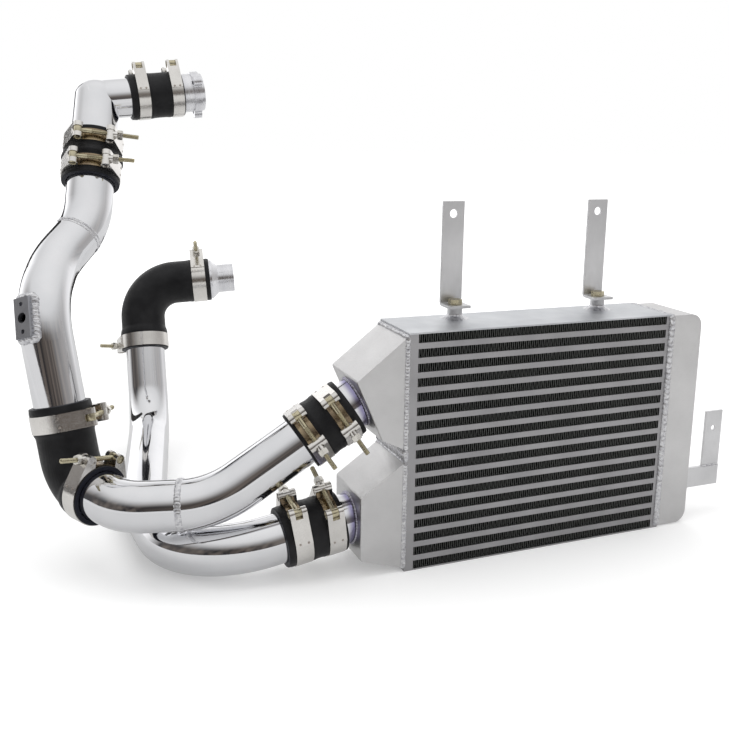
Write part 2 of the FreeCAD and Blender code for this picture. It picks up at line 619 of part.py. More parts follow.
def strap_profile(inner, bolt_x):
    """Band outline across the hose: a ring open at +X whose ends fold up and round each pin."""
    outer = inner + BAND_THICK
    strap_r = outer + BAND_THICK
    # Each end runs on a common tangent of its loop and the band
    loop_turn = math.atan2(LOOP_REACH, bolt_x)
    tangent_turn = loop_turn + math.acos((strap_r - LOOP_R) / math.hypot(bolt_x, LOOP_REACH))
    end_turn = tangent_turn + math.radians(OVERLAP_ANGLE)
    inside = LOOP_REACH - LOOP_R

    def polar(radius, turn):
        return V(radius * math.cos(turn), radius * math.sin(turn), 0)

    seat = V(bolt_x, LOOP_REACH, 0)
    upper = [V(math.sqrt(inner ** 2 - inside ** 2), inside, 0), V(bolt_x, inside, 0), seat + V(LOOP_R, 0, 0),
             seat + polar(LOOP_R, tangent_turn), polar(strap_r, tangent_turn),
             polar(strap_r, (tangent_turn + end_turn) / 2), polar(strap_r, end_turn), polar(outer, end_turn)]
    lower = [V(point.x, -point.y, 0) for point in upper]
    edges = [Part.Arc(upper[7], V(-outer, 0, 0), lower[7]).toShape(),
             Part.Arc(upper[0], V(-inner, 0, 0), lower[0]).toShape()]
    for points in (upper, lower):
        edges += [Part.makeLine(points[0], points[1]), Part.Arc(points[1], points[2], points[3]).toShape(),
                  Part.makeLine(points[3], points[4]), Part.Arc(points[4], points[5], points[6]).toShape(),
                  Part.makeLine(points[6], points[7])]
    return Part.Face(Part.Wire(Part.__sortEdges__(edges))), tangent_turn, strap_r


def clamp_pieces(hose_radius, width):
    """Pieces of one clamp: hose along Z, bolt side at +X, thread towards +Y."""
    inner = hose_radius + BAND_GAP
    bolt_x = hose_radius + SHANK_RISE
    half = V(0, 0, width / 2)
    head = V(bolt_x, -LOOP_REACH, 0)
    seat = V(bolt_x, LOOP_REACH, 0)
    profile, tangent_turn, strap_r = strap_profile(inner, bolt_x)
    normal = V(math.cos(tangent_turn), math.sin(tangent_turn), 0)
    band = profile.extrude(half * 2).translated(-half)
    for loop in (head, seat):
        band = band.cut(rod(LOOP_R - LOOP_WALL, loop - half * 1.1, loop + half * 1.1))
    # The nut bears on the pin's sleeve, clear of the sloping strap
    nut_reach = NUT_FLATS / math.sqrt(3)
    strap_y = (strap_r - normal.x * (bolt_x - nut_reach)) / normal.y
    nut_start = strap_y + SEAT
    band = band.cut(box((bolt_x - LOOP_SLOT / 2, -strap_y, -LOOP_SLOT / 2),
                        (bolt_x + LOOP_R + 1, strap_y, LOOP_SLOT / 2)))
    pin = V(0, 0, width / 2 - PIN_SHORT)
    pin_r = LOOP_R - LOOP_WALL - FIT
    shank_end = V(bolt_x, BOLT_TAIL, 0)
    bolt = rod(pin_r, head - pin, head + pin).fuse(rod(BOLT_R, head, shank_end))
    bore = rod(BOLT_R + FIT, head, shank_end)
    sleeve = rod(LOOP_SLOT / 2 - FIT, seat, V(bolt_x, nut_start, 0))
    trunnion = rod(pin_r, seat - pin, seat + pin).fuse(sleeve).cut(bore)
    flats = Part.makePolygon([V(bolt_x + a, nut_start, b) for a, b in hexagon(NUT_FLATS)])
    nut = Part.Face(flats).extrude(V(0, NUT_HEIGHT, 0)).cut(bore)
    span = math.degrees(math.asin((LOOP_REACH - LOOP_R - SEAT) / (inner + BRIDGE_THICK)))
    bridge = sector(inner, inner + BRIDGE_THICK, width - BRIDGE_INSET, -span, 2 * span)
    return band, bolt, trunnion, nut, bridge


trunnions, nuts, bridges = [], [], []
for name, route, station, radius, width, side, thread in clamps:
    centre, way = route_point(route, station)
    out = V(*side)
    out = (out - way * out.dot(way)).normalize()
    tail = way.cross(out) * thread
    turn = FreeCAD.Rotation(out, tail, out.cross(tail), "XYZ")
    placed = [piece.copy() for piece in clamp_pieces(radius, width)]
    for piece in placed:
        piece.Placement = FreeCAD.Placement(centre, turn)
    band, bolt, trunnion, nut, bridge = placed
    keep(name + "_clamp_band", band)
    keep(name + "_clamp_bolt", bolt)
    trunnions.append(trunnion)
    nuts.append(nut)
    bridges.append(bridge)
keep("clamp_trunnions", trunnions)
keep("clamp_nuts", nuts)
keep("clamp_bridges", bridges)

for name, shape in nodes.items():
    shape.exportStep("parts/" + name + ".step")
    print(name, len(shape.Solids), "valid" if shape.isValid() else "NOT VALID", round(shape.Volume))
print(len(nodes), "nodes, core height", CORE_HEIGHT, "runs", round(FRONT_LENGTH, 1), round(REAR_LENGTH, 1))
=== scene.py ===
import math

import bmesh
import bpy
import numpy as np
from mathutils import Matrix


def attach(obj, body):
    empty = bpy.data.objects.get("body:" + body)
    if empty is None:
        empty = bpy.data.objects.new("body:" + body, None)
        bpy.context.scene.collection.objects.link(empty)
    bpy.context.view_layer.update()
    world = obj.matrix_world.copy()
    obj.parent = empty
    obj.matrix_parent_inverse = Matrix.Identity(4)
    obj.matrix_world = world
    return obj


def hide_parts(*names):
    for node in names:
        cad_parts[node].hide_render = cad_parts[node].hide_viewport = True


# A front-mount intercooler with polished pipework, dressed for looks around its solids.
# Metres, +Z up, +X towards the return tank, -Y out of the face of the core.
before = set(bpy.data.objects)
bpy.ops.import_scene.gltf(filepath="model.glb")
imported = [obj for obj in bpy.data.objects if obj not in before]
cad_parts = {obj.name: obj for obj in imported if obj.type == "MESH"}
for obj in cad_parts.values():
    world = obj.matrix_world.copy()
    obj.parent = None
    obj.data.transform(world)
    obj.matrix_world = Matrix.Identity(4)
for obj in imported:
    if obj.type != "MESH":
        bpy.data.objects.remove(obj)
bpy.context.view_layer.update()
MM = 0.001


# Core plates and bars
# Aluminium plates, long charge bars and square end bars, stacked and furnace brazed.
# The bars are an even mid grey with faint cloudy stains; the cover plate on top is paler.
CORE_END = 160.75 * MM
CORE_TOP = 252.2 * MM
BAR_NODES = ("core_bottom_plate", "parting_sheets", "charge_side_bars", "air_side_bars",
             "charge_turbulators")
BAR_GREYS = ((0.47, 0.465, 0.475), (0.385, 0.38, 0.39))
COVER_GREYS = ((0.72, 0.735, 0.755), (0.57, 0.585, 0.61))
CLOUD_RANGE = (0.32, 0.68)
NOISE_RANGE = (0.3, 0.7)
BUMP_DISTANCE = 0.2 * MM


def place(tree, kind, inputs=None, **settings):
    """Add one shader node; an input takes a constant or the output socket of another node."""
    made = tree.nodes.new(kind)
    for key, value in settings.items():
        setattr(made, key, value)
    for key, value in (inputs or {}).items():
        if isinstance(value, bpy.types.NodeSocket):
            tree.links.new(value, made.inputs[key])
        else:
            made.inputs[key].default_value = value
    return made


def feed(tree, node, **sockets):
    """Link output sockets to the node's inputs of those names."""
    for name, socket in sockets.items():
        tree.links.new(socket, node.inputs[name.replace("_", " ")])


def math_node(tree, operation, *values):
    made = place(tree, "ShaderNodeMath", dict(enumerate(values)), operation=operation)
    return made.outputs["Value"]


def vector_node(tree, operation, *values):
    """Vector maths; DOT_PRODUCT and LENGTH give a number, the others a vector."""
    made = place(tree, "ShaderNodeVectorMath", dict(enumerate(values)), operation=operation)
    return made.outputs["Value" if operation in ("DOT_PRODUCT", "LENGTH") else "Vector"]


def object_point(tree):
    return place(tree, "ShaderNodeTexCoord").outputs["Object"]


def map_range(tree, value, known, wanted=(0.0, 1.0), curve="LINEAR"):
    """Value carried from its known range to the wanted one, held at both ends."""
    made = place(tree, "ShaderNodeMapRange", {"Value": value, "From Min": known[0], "From Max": known[1],
                                              "To Min": wanted[0], "To Max": wanted[1]},
                 interpolation_type=curve)
    return made.outputs["Result"]


def noise_value(tree, where, scale, detail):
    made = place(tree, "ShaderNodeTexNoise", {"Vector": where, "Scale": scale, "Detail": detail})
    return made.outputs["Fac"]


def bumped(tree, height, strength):
    """Normal tilted by a height, where a height of 1 stands for the bump distance."""
    made = place(tree, "ShaderNodeBump", {"Height": height, "Strength": strength, "Distance": BUMP_DISTANCE})
    return made.outputs["Normal"]


def start_group(name, takes, gives):
    """Empty shader group; takes and gives are the kinds of its sockets by name."""
    tree = bpy.data.node_groups.new(name, "ShaderNodeTree")
    for way, sockets in (("INPUT", takes), ("OUTPUT", gives)):
        for label, kind in sockets.items():
            tree.interface.new_socket(label, in_out=way, socket_type="NodeSocket" + kind)
    return tree, tree.nodes.new("NodeGroupInput").outputs, tree.nodes.new("NodeGroupOutput")


def build_cloud():
    """Soft blotches: noise on Object coordinates, its middle range stretched to 0..1."""
    tree, takes, gives = start_group("cloud", {"Scale": "Float"}, {"Mask": "Float"})
    blotches = noise_value(tree, object_point(tree), takes["Scale"], 4.0)
    feed(tree, gives, Mask=map_range(tree, blotches, CLOUD_RANGE))
    return tree


def build_grain():
    """Surface grain: noise stretched along the axes by Stretch, as a value and as a bumped normal."""
    tree, takes, gives = start_group("grain", {"Scale": "Float", "Stretch": "Vector", "Depth": "Float"},
                                     {"Value": "Float", "Normal": "Vector"})
    stretched = vector_node(tree, "MULTIPLY", object_point(tree), takes["Stretch"])
    grains = noise_value(tree, stretched, takes["Scale"], 3.0)
    feed(tree, gives, Value=grains, Normal=bumped(tree, grains, takes["Depth"]))
    return tree


cloud_group = build_cloud()
grain_group = build_grain()


def place_group(tree, group, **inputs):
    made = tree.nodes.new("ShaderNodeGroup")
    made.node_tree = group
    for key, value in inputs.items():
        made.inputs[key].default_value = value
    return made.outputs


def start_material(name, **constants):
    """New material; the constants go on its shader's own sockets."""
    material = bpy.data.materials.new(name)
    material.use_nodes = True
    tree = material.node_tree
    shader = tree.nodes["Principled BSDF"]
    for key, value in constants.items():
        shader.inputs[key.replace("_", " ")].default_value = value
    return material, tree, shader


def blend_colours(tree, mask, first, second):
    """Colour that runs from first to second as the mask goes from 0 to 1."""
    mixed = place(tree, "ShaderNodeMix", {"Factor": mask}, data_type="RGBA")
    for socket, value in ((mixed.inputs[6], first), (mixed.inputs[7], second)):
        if isinstance(value, bpy.types.NodeSocket):
            tree.links.new(value, socket)
        else:
            socket.default_value = (*value, 1)
    return mixed.outputs[2]


def spread_value(tree, value, low=0.0, high=1.0):
    """A noise's usual range stretched from low to high."""
    return map_range(tree, value, NOISE_RANGE, (low, high))


def grained(name, colours, rough, clouds, grain, stretch=(1, 1, 1), depth=0.3, **constants):
    """Material of two close colours in clouds, with roughness and bumps that follow a grain.
    Clouds and grain are the scales of their noises."""
    material, tree, shader = start_material(name, **constants)
    mask = place_group(tree, cloud_group, Scale=clouds)["Mask"]
    grains = place_group(tree, grain_group, Scale=grain, Stretch=stretch, Depth=depth)
    feed(tree, shader, Base_Color=blend_colours(tree, mask, *colours),
         Roughness=spread_value(tree, grains["Value"], *rough), Normal=grains["Normal"])
    return material


def metal(name, colours, **looks):
    return grained(name, colours, Metallic=1.0, **looks)


def colour_over(material, mask, colour):
    """Lay a colour over the material's own where the mask is 1."""
    tree = material.node_tree
    base = tree.nodes["Principled BSDF"].inputs["Base Color"]
    tree.links.new(blend_colours(tree, mask, base.links[0].from_socket, colour), base)


def dress(material, *nodes):
    for name in nodes:
        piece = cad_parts[name]
        if not piece.material_slots:
            piece.data.materials.append(material)
        for held in piece.material_slots:
            held.material = material


BRAZED = {"rough": (0.36, 0.52), "clouds": 22.0, "grain": 1400.0}
dress(metal("brazed bars", BAR_GREYS, **BRAZED), *BAR_NODES)
dress(metal("cover plate", COVER_GREYS, **BRAZED), "core_top_plate")


# Cooling fins
# Thin aluminium strip folded into tall narrow waves, one strip to each row, brazed to the sheets.
# Only the cut edges at the face are coloured as lit; the folds behind them are painted dark, a painted shade
# for the deep cells.
FIN_ROWS = 17
FIN_PITCH = 15 * MM
FIN_FLOOR = 1.6 * MM
FIN_HEIGHT = 8.8 * MM
FIN_SPAN = 301.3 * MM
FIN_FOLDS = 63
FIN_SHEET = 0.32 * MM
FIN_HALF_DEPTH = 37 * MM
FIN_STOPS = (-1, -0.97, -0.85, -0.65, 0, 0.65, 0.85, 0.97, 1)
FIN_WAVE = 0.9 * MM
FIN_WAVE_LENGTH = 24 * MM
FIN_LEAN = 0.12
# Fin colours: a paler grey at the cut edges of each face, and dark painted shade greys in the folds behind
# them
FIN_EDGE = (0.28, 0.29, 0.28)
FIN_PAINTED_SHADES = ((0.036, 0.038, 0.034), (0.10, 0.105, 0.095))
FIN_EDGE_DEPTH = (1.4 * MM, 0.1 * MM)
FIN_EDGE_POWER = 2.5


def unit(vectors):
    return vectors / np.linalg.norm(vectors, axis=-1, keepdims=True)


def outward(vertices, faces):
    """Turn the faces round if the closed surface holds a negative volume."""
    a, b, c, d = (vertices[faces[:, k]] for k in range(4))
    volume = (np.cross(a, b) * c).sum() + (np.cross(a, c) * d).sum()
    return faces if volume > 0 else faces[:, ::-1]


def shell(points, wrap_rows=True):
    """Vertices and outward quads of a closed surface from points on a grid (rows, columns, 3).
    Each row is a ring that joins the next row, and the last row joins the first where wrapped."""
    rows, columns = points.shape[:2]
    i = np.arange(rows if wrap_rows else rows - 1)[:, None]
    j = np.arange(columns)[None, :]
    i_next = (i + 1) % rows
    j_next = (j + 1) % columns
    corners = (i * columns + j, i * columns + j_next, i_next * columns + j_next, i_next * columns + j)
    faces = np.stack([np.broadcast_to(c, (i.size, j.size)).ravel() for c in corners], 1)
    vertices = points.reshape(-1, 3)
    return vertices, outward(vertices, faces)


def add_object(name, data):
    made = bpy.data.objects.new(name, data)
    bpy.context.scene.collection.objects.link(made)
    return made


def finish_piece(name, mesh, material, replaced, sharp):
    """Object for a mesh, smooth but for its sharp edges, that rides on the root."""
    mesh.shade_smooth()
    mesh.set_sharp_from_angle(angle=math.radians(sharp))
    mesh.materials.append(material)
    piece = add_object(name, mesh)
    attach(piece, "root")
    if replaced:
        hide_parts(*replaced)
    return piece


def make_piece(name, shells, material, replaced=(), sharp=40, marks=None):
    """One object of several closed surfaces; coincident points at poles are merged."""
    vertices, faces, count = [], [], 0
    for points, quads in shells:
        vertices.append(points)
        faces.append(quads + count)
        count += len(points)
    mesh = bpy.data.meshes.new(name)
    mesh.from_pydata(np.concatenate(vertices).tolist(), [], np.concatenate(faces).tolist())
    for label, values in (marks or {}).items():
        held = mesh.attributes.new(label, "FLOAT", "POINT")
        held.data.foreach_set("value", np.asarray(values, np.float32))
    work = bmesh.new()
    work.from_mesh(mesh)
    bmesh.ops.remove_doubles(work, verts=work.verts, dist=1e-6)
    work.to_mesh(mesh)
    work.free()
    finish_piece(name, mesh, material, replaced, sharp)


def fin_strip(floor):
    """Folded strip: in each fold the sheet climbs, runs along the top, falls and runs along the
    bottom; the whole outline snakes sideways as a sine of the depth."""
    corners = np.array([[0, -0.5], [FIN_LEAN, 0.5], [0.5, 0.5], [0.5 + FIN_LEAN, -0.5]])
    fold = np.arange(FIN_FOLDS)[:, None]
    x = (fold + corners[None, :, 0]).ravel()
    z = np.tile(corners[:, 1], FIN_FOLDS)
    x = (x / x[-1] - 0.5) * (FIN_SPAN - 2 * FIN_WAVE - 2 * FIN_SHEET)
    line = np.stack([x, z * (FIN_HEIGHT - FIN_SHEET)], 1)
    along = np.gradient(line, axis=0)
    normal = unit(np.stack([-along[:, 1], along[:, 0]], 1))
    outline = np.concatenate([line + normal * FIN_SHEET / 2, (line - normal * FIN_SHEET / 2)[::-1]])
    depth = np.array(FIN_STOPS) * FIN_HALF_DEPTH
    sway = FIN_WAVE * np.sin(2 * math.pi * depth / FIN_WAVE_LENGTH)
    grid = np.empty((len(depth), len(outline), 3))
    grid[..., 0] = outline[:, 0] + sway[:, None]
    grid[..., 1] = depth[:, None]
    grid[..., 2] = outline[:, 1] + floor + FIN_HEIGHT / 2
    return grid


def strip_shell(grid):
    """The folded strip's wall, closed at both faces by quads across the sheet."""
    vertices, wall = shell(grid, wrap_rows=False)
    rows, columns = grid.shape[:2]
    a = np.arange(columns // 2 - 1)
    across = np.stack([a, a + 1, columns - 2 - a, columns - 1 - a], 1)
    front = across if wall[0][0] == 1 or wall[0][1] == columns else across[:, ::-1]
    back = across[:, ::-1] + (rows - 1) * columns
    return vertices, np.concatenate([wall, front, back])


# Painted shade: the fin colour is dark deep in the folds and ramps to the edge grey within about 1.4 mm of
# either face
fin_material = metal("folded fin painted shade", FIN_PAINTED_SHADES, rough=(0.45, 0.7), clouds=160.0, grain=1500.0)
tree = fin_material.node_tree
apart = place(tree, "ShaderNodeSeparateXYZ", {"Vector": object_point(tree)})
depth = math_node(tree, "ABSOLUTE", apart.outputs["Y"])
edge = map_range(tree, depth, [FIN_HALF_DEPTH - inward for inward in FIN_EDGE_DEPTH])
colour_over(fin_material, math_node(tree, "POWER", edge, FIN_EDGE_POWER), FIN_EDGE)

make_piece("folded_fins", [strip_shell(fin_strip(FIN_FLOOR + row * FIN_PITCH)) for row in range(FIN_ROWS)],
           fin_material, ("cooling_fins",))


# End tanks and their seams
# Folded sheet boxes with sanded faces, welded to the core all round.
# Each weld is a row of small overlapping ripples, paler than the sheet.
TANK_GREYS = ((0.74, 0.735, 0.735), (0.62, 0.615, 0.615))
WELD_GREYS = ((0.86, 0.86, 0.87), (0.52, 0.52, 0.55))
RIPPLE = 3.4 * MM
RIPPLE_POINTS = 7
RIPPLE_BOW = 0.45
RIPPLE_DRIFT = 0.6
RIPPLE_POWER = 0.6
BEAD_WIDTHS = (0.86, 0.16, 0.22)
BEAD_HEIGHTS = (0.62, 0.42)
BEAD_TAPER = 0.6
SLOW_WAVES = 8
SLOW_PITCH = 40 * MM
SEAM_WIDTH = 5.0 * MM
SEAM_HEIGHT = 1.5 * MM
RETURN_SEAM_WIDTH = 9.0 * MM
SEAM_OUT = 37.6 * MM
SEAM_CORNER = 3.0 * MM
SEAM_EDGE = 1.5 * MM
SEAM_LEAN = 0.25
LEFT_SEAM_X = -CORE_END - 1.2 * MM
RETURN_SEAM_X = CORE_END - 1.6 * MM
UPPER_SEAM = (131.5 * MM, 248.9 * MM)
LOWER_SEAM = (4.0 * MM, 119.7 * MM)
RETURN_SEAM = (3.0 * MM, 250.3 * MM)
NOTCH_X = -CORE_END - 0.6 * MM
NOTCH_MIDDLE = 125.6 * MM
NOTCH_ENDS = (119.0 * MM, 132.0 * MM)
NOTCH_WIDTH = 11.0 * MM
NOTCH_HEIGHT = 3.2 * MM
NOTCH_LEAN = -0.3


def full_turn(count):
    """Angles evenly all round."""
    return np.linspace(0, 2 * math.pi, count, endpoint=False)


def resampled(points, step, closed):
    """The same line with evenly spaced points about a step apart."""
    line = np.concatenate([points, points[:1]]) if closed else points
    reach = np.concatenate([[0], np.cumsum(np.linalg.norm(np.diff(line, axis=0), axis=1))])
    count = max(8, round(reach[-1] / step))
    stops = np.linspace(0, reach[-1], count, endpoint=not closed)
    return np.stack([np.interp(stops, reach, line[:, k]) for k in range(3)], 1), stops, reach[-1]


def bead(points, lift, width, height, seed, closed=True, ripple=RIPPLE, columns=14):
    """Weld bead along a line. Its section is an ellipse, width across and height along the lift
    direction. The height and width grow and shrink by a wave of (distance + bow x across squared)
    over the ripple's pitch, so the ripples are crescents; slow sines make it uneven."""
    line, stops, length = resampled(points, ripple / RIPPLE_POINTS, closed)
    if closed:
        along = unit(np.roll(line, -1, 0) - np.roll(line, 1, 0))
    else:
        along = unit(np.gradient(line, axis=0))
    up = lift(line) if callable(lift) else np.broadcast_to(np.array(lift, float), line.shape)
    up = unit(up - along * (up * along).sum(1, keepdims=True))
    side = np.cross(along, up)
    chance = np.random.default_rng(seed)
    phases = chance.uniform(0, 2 * math.pi, (2, 1, SLOW_WAVES))
    sizes = chance.uniform(0.3, 1, (2, 1, SLOW_WAVES))
    turns = np.arange(1, SLOW_WAVES + 1) * max(1, round(length / SLOW_PITCH))
    slow = sizes * np.sin(2 * math.pi * stops[None, :, None] / length * turns + phases)
    drift, swell = slow.mean(2)[..., None]
    angle = full_turn(columns)
    across, rise = np.cos(angle), np.sin(angle)
    count = max(1, round(length / ripple))
    phase = stops[:, None] / length * count + RIPPLE_BOW * across ** 2 + RIPPLE_DRIFT * drift
    wave = np.abs(np.sin(math.pi * phase)) ** RIPPLE_POWER
    taper = np.ones((len(stops), 1))
    if not closed:
        near = np.minimum(stops, length - stops) / (BEAD_TAPER * width)
        taper = np.sqrt(np.clip(near, 0, 1))[:, None]
    steady, rippled, swelling = BEAD_WIDTHS
    wide = width / 2 * (steady + rippled * wave + swelling * swell) * taper
    tall = height * (BEAD_HEIGHTS[0] + BEAD_HEIGHTS[1] * wave) * taper
    grid = line[:, None] + side[:, None] * (wide * across)[..., None] + up[:, None] * (tall * rise)[..., None]
    return shell(grid, wrap_rows=closed)


def rounded_rectangle(low, high, radius, steps):
    """Flat loop from corner low to corner high, each corner an arc of that many points."""
    turn = np.linspace(0, math.pi / 2, steps)
    arcs = []
    for quarter, (right, top) in enumerate(((1, 1), (0, 1), (0, 0), (1, 0))):
        across = high[0] - radius if right else low[0] + radius
        up = high[1] - radius if top else low[1] + radius
        angle = turn + quarter * math.pi / 2
        arcs.append(np.stack([across + radius * np.cos(angle), up + radius * np.sin(angle)], 1))
    return np.concatenate(arcs)


def upright_loop(x, low, high):
    """Rounded rectangle round the core's end at that x, out of face, over the top and back under."""
    flat = rounded_rectangle((-SEAM_OUT, low), (SEAM_OUT, high), SEAM_CORNER, 6)
    return np.column_stack([np.full(len(flat), x), flat])


def away_from(x_lean, low, high):
    """Lift for a seam: out of the loop's middle, and leaning along X."""
    middle = (low + high) / 2

    def lift(line):
        y, z = line[:, 1], line[:, 2] - middle
        at_side = np.abs(y) > SEAM_OUT - SEAM_EDGE
        at_end = np.abs(z) > (high - low) / 2 - SEAM_EDGE
        out = np.stack([np.zeros(len(line)), y * at_side, np.sign(z) * at_end * SEAM_OUT], 1)
        return unit(out) + np.array([x_lean, 0, 0])
    return lift


tank_material = metal("sanded tank sheet", TANK_GREYS, rough=(0.30, 0.46), clouds=14.0,
                      grain=260.0, stretch=(1, 1, 6), depth=0.12)
dress(tank_material, "upper_inlet_tank", "lower_outlet_tank", "return_tank")
weld_material = metal("weld bead", WELD_GREYS, rough=(0.22, 0.42), clouds=320.0, grain=1500.0, depth=0.5)

seams = []
for seed, (x, (low, high), width) in enumerate(((LEFT_SEAM_X, UPPER_SEAM, SEAM_WIDTH),
                                                (LEFT_SEAM_X, LOWER_SEAM, SEAM_WIDTH),
                                                (RETURN_SEAM_X, RETURN_SEAM, RETURN_SEAM_WIDTH))):
    scale = width / SEAM_WIDTH
    loop = upright_loop(x, low, high)
    lift = away_from(SEAM_LEAN * np.sign(x), low, high)
    seams.append(bead(loop, lift, width, SEAM_HEIGHT * scale, seed, ripple=RIPPLE * scale))
notch_line = np.array([(NOTCH_X, -SEAM_OUT, NOTCH_MIDDLE), (NOTCH_X, SEAM_OUT, NOTCH_MIDDLE)])
seams.append(bead(notch_line, (-1, 0, 0), NOTCH_WIDTH, NOTCH_HEIGHT, 5, closed=False))
for seed, y in enumerate((-SEAM_OUT, SEAM_OUT), 6):
    line = np.array([(NOTCH_X, y, z) for z in NOTCH_ENDS])
    seams.append(bead(line, (NOTCH_LEAN, np.sign(y), 0), SEAM_WIDTH, SEAM_HEIGHT, seed, closed=False))
make_piece("tank_seams", seams, weld_material)


# Pipes
# Drawn aluminium tube bent on a mandrel and buffed to a mirror, in two runs from the left tanks.
# Two of the runs' joints are butt welds left as they were laid; the rest are hoses.
UPWARD = np.array((0, 0, 1.0))
SIDEWARD = np.array((1.0, 0, 0))
PIPE_R = 25.5 * MM
PIPE_BORE = 23.5 * MM
PIPE_LIP = 0.5 * MM
PIPE_STEP = 3 * MM
WELD_COLUMNS = 90
PIPE_GREYS = ((0.80, 0.80, 0.815), (0.75, 0.755, 0.775))

# Corners of the runs and the radius of each bend, in millimetres
FRONT_CORNERS = ((-201.5, 0, 177.0), (-346.0, 8.0, 84.0), (-426.0, 37.0, 80.0), (-466.0, 108.0, 85.0),
                 (-487.0, 146.0, 264.5), (-468.0, 199.0, 299.5), (-430.0, 232.0, 335.0),
                 (-405.0, 307.6, 465.3))
FRONT_RADII = (108.0, 54.0, 40.0, 78.0, 90.0, 90.0)
REAR_CORNERS = ((-208.5, 0, 52.5), (-380.5, 0, 25.5), (-391.0, 168.5, 25.5), (-343.0, 405.0, 47.5),
                (-337.0, 480.5, 223.5), (-213.5, 455.5, 233.5))
REAR_RADII = (93.0, 76.5, 82.0, 47.5)
TOP_CORNER = np.array((-405.0, 307.6, 469.3))
TOP_LENGTH = 120.5

# Stations along the runs, in metres from their starts
FRONT_PIPE_ENDS = (30 * MM, 322 * MM)
REAR_PIPE_ENDS = (30 * MM, 670 * MM)

# Beads of the two butt welds: station, width and height; the riser's weld shows as two beads
PIPE_WELDS = ((201.6 * MM, 6.6 * MM, 1.2 * MM), (614.5 * MM, 2.6 * MM, 0.5 * MM),
              (618 * MM, 2.6 * MM, 0.5 * MM))


def turned(way, axis, angle):
    """Direction turned about an axis: way x cosine + (axis cross way) x sine + axis x (axis dot
    way) x (1 - cosine)."""
    along = (axis * way).sum(-1, keepdims=True)
    return way * np.cos(angle) + np.cross(axis, way) * np.sin(angle) + axis * along * (1 - np.cos(angle))


def route(corners, radii):
    """Straight legs joined by arcs, as columns: station, point, heading, side, turn axis, curvature."""
    corners = np.array(corners, float) * MM
    heading = unit(corners[1] - corners[0])
    side = unit(np.cross(heading, UPWARD))
    start, station, stretches = corners[0], 0.0, []
    for corner, after, radius in zip(corners[1:-1], corners[2:], np.array(radii) * MM):
        leaving = unit(after - corner)
        turn = math.acos(heading @ leaving)
        axis = unit(np.cross(heading, leaving))
        reach = radius * math.tan(turn / 2)
        stretches.append((station, start, heading, side, axis, 0.0))
        first = corner - heading * reach
        station += np.linalg.norm(first - start)
        stretches.append((station, first, heading, side, axis, 1 / radius))
        side = turned(side, axis, turn)
        station += radius * turn
        start, heading = corner + leaving * reach, leaving
    stretches.append((station, start, heading, side, side, 0.0))
    return [np.array(column) for column in zip(*stretches)]


def follow(run, stations):
    """Points, headings and sides at the stations. On a leg the point moves straight on; on an arc
    it and its directions turn about the axis by distance times curvature."""
    starts, points, headings, sides, axes, curves = run
    stations = np.atleast_1d(stations)
    k = np.clip(np.searchsorted(starts, stations, side="right") - 1, 0, None)
    ahead = (stations - starts[k])[:, None]
    angle = ahead * curves[k][:, None]
    inward = np.cross(axes[k], headings[k])
    chord = np.sinc(angle / math.pi) * ahead
    sag = np.sinc(angle / 2 / math.pi) * np.sin(angle / 2) * ahead
    point = points[k] + headings[k] * chord + inward * sag
    return point, turned(headings[k], axes[k], angle), turned(sides[k], axes[k], angle)


def follow_one(run, station):
    """Point, heading and side at one station."""
    return [value[0] for value in follow(run, station)]


def round_ways(side, cross, columns):
    """Directions all round, from side towards cross: side x cosine + cross x sine."""
    angle = full_turn(columns)[:, None]
    return side * np.cos(angle) + cross * np.sin(angle)


def sleeve(run, profile, columns=72):
    """Profile carried along a route: each (station, radius) pair becomes a ring about the route,
    and the last ring closes on the first."""
    stations, radii = profile
    point, heading, side = follow(run, stations)
    ring = round_ways(side[:, None], np.cross(heading, side)[:, None], columns)
    return point[:, None] + ring * radii[:, None, None]


def plain_radius(radius):
    return lambda stations: np.full(len(stations), radius)


def wall(low, high, outer, inner, step=PIPE_STEP, lip=PIPE_LIP):
    """Profile of a tube wall: out along the outside, round the lip, back along the bore, round the
    other lip. Outer gives the outside radius at each station."""
    ahead = np.linspace(low + lip, high - lip, max(3, round((high - low) / step)))
    outside = outer(ahead)
    turn = np.linspace(0, math.pi / 2, 4)[1:]
    near_lip = (low + lip - lip * np.sin(turn))[::-1], (outside[0] - lip + lip * np.cos(turn))[::-1]
    far_lip = high - lip + lip * np.sin(turn), outside[-1] - lip + lip * np.cos(turn)
    stations = np.concatenate([near_lip[0], ahead, far_lip[0], [high], ahead[::-1], [low]])
    radii = np.concatenate([near_lip[1], outside, far_lip[1], [inner + lip], np.full(len(ahead), inner),
                            [inner + lip]])
    return stations, radii


BUFFED = {"clouds": 26.0, "grain": 90.0, "depth": 0.012}
polished = metal("buffed pipe", PIPE_GREYS, rough=(0.04, 0.09), **BUFFED)
front_run = route(FRONT_CORNERS, FRONT_RADII)
rear_run = route(REAR_CORNERS, REAR_RADII)
top_way = unit(np.array((1, 0, 0.11)))
top_run = route((TOP_CORNER, TOP_CORNER + top_way * TOP_LENGTH), ())
for name, run, (low, high) in (("front_lower_pipe", front_run, FRONT_PIPE_ENDS),
                               ("rear_lower_pipe", rear_run, REAR_PIPE_ENDS)):
    tube = sleeve(run, wall(low, high, plain_radius(PIPE_R), PIPE_BORE))
    make_piece(name + "_tube", [shell(tube)], polished, (name,))
dress(polished, "riser_pipe", "top_elbow_pipe")


def pipe_circle(point, heading, side):
    """Loop round the outside of a pipe, square to its heading."""
    return point + PIPE_R * round_ways(side, np.cross(heading, side), WELD_COLUMNS)


def ring_bead(run, station, width, height, seed):
    """Bead round a pipe at one station."""
    point, heading, side = follow_one(run, station)
    return bead(pipe_circle(point, heading, side), lambda line: line - point, width, height, seed)


make_piece("pipe_welds", [ring_bead(front_run, *weld, 11 + k) for k, weld in enumerate(PIPE_WELDS)],
           weld_material)


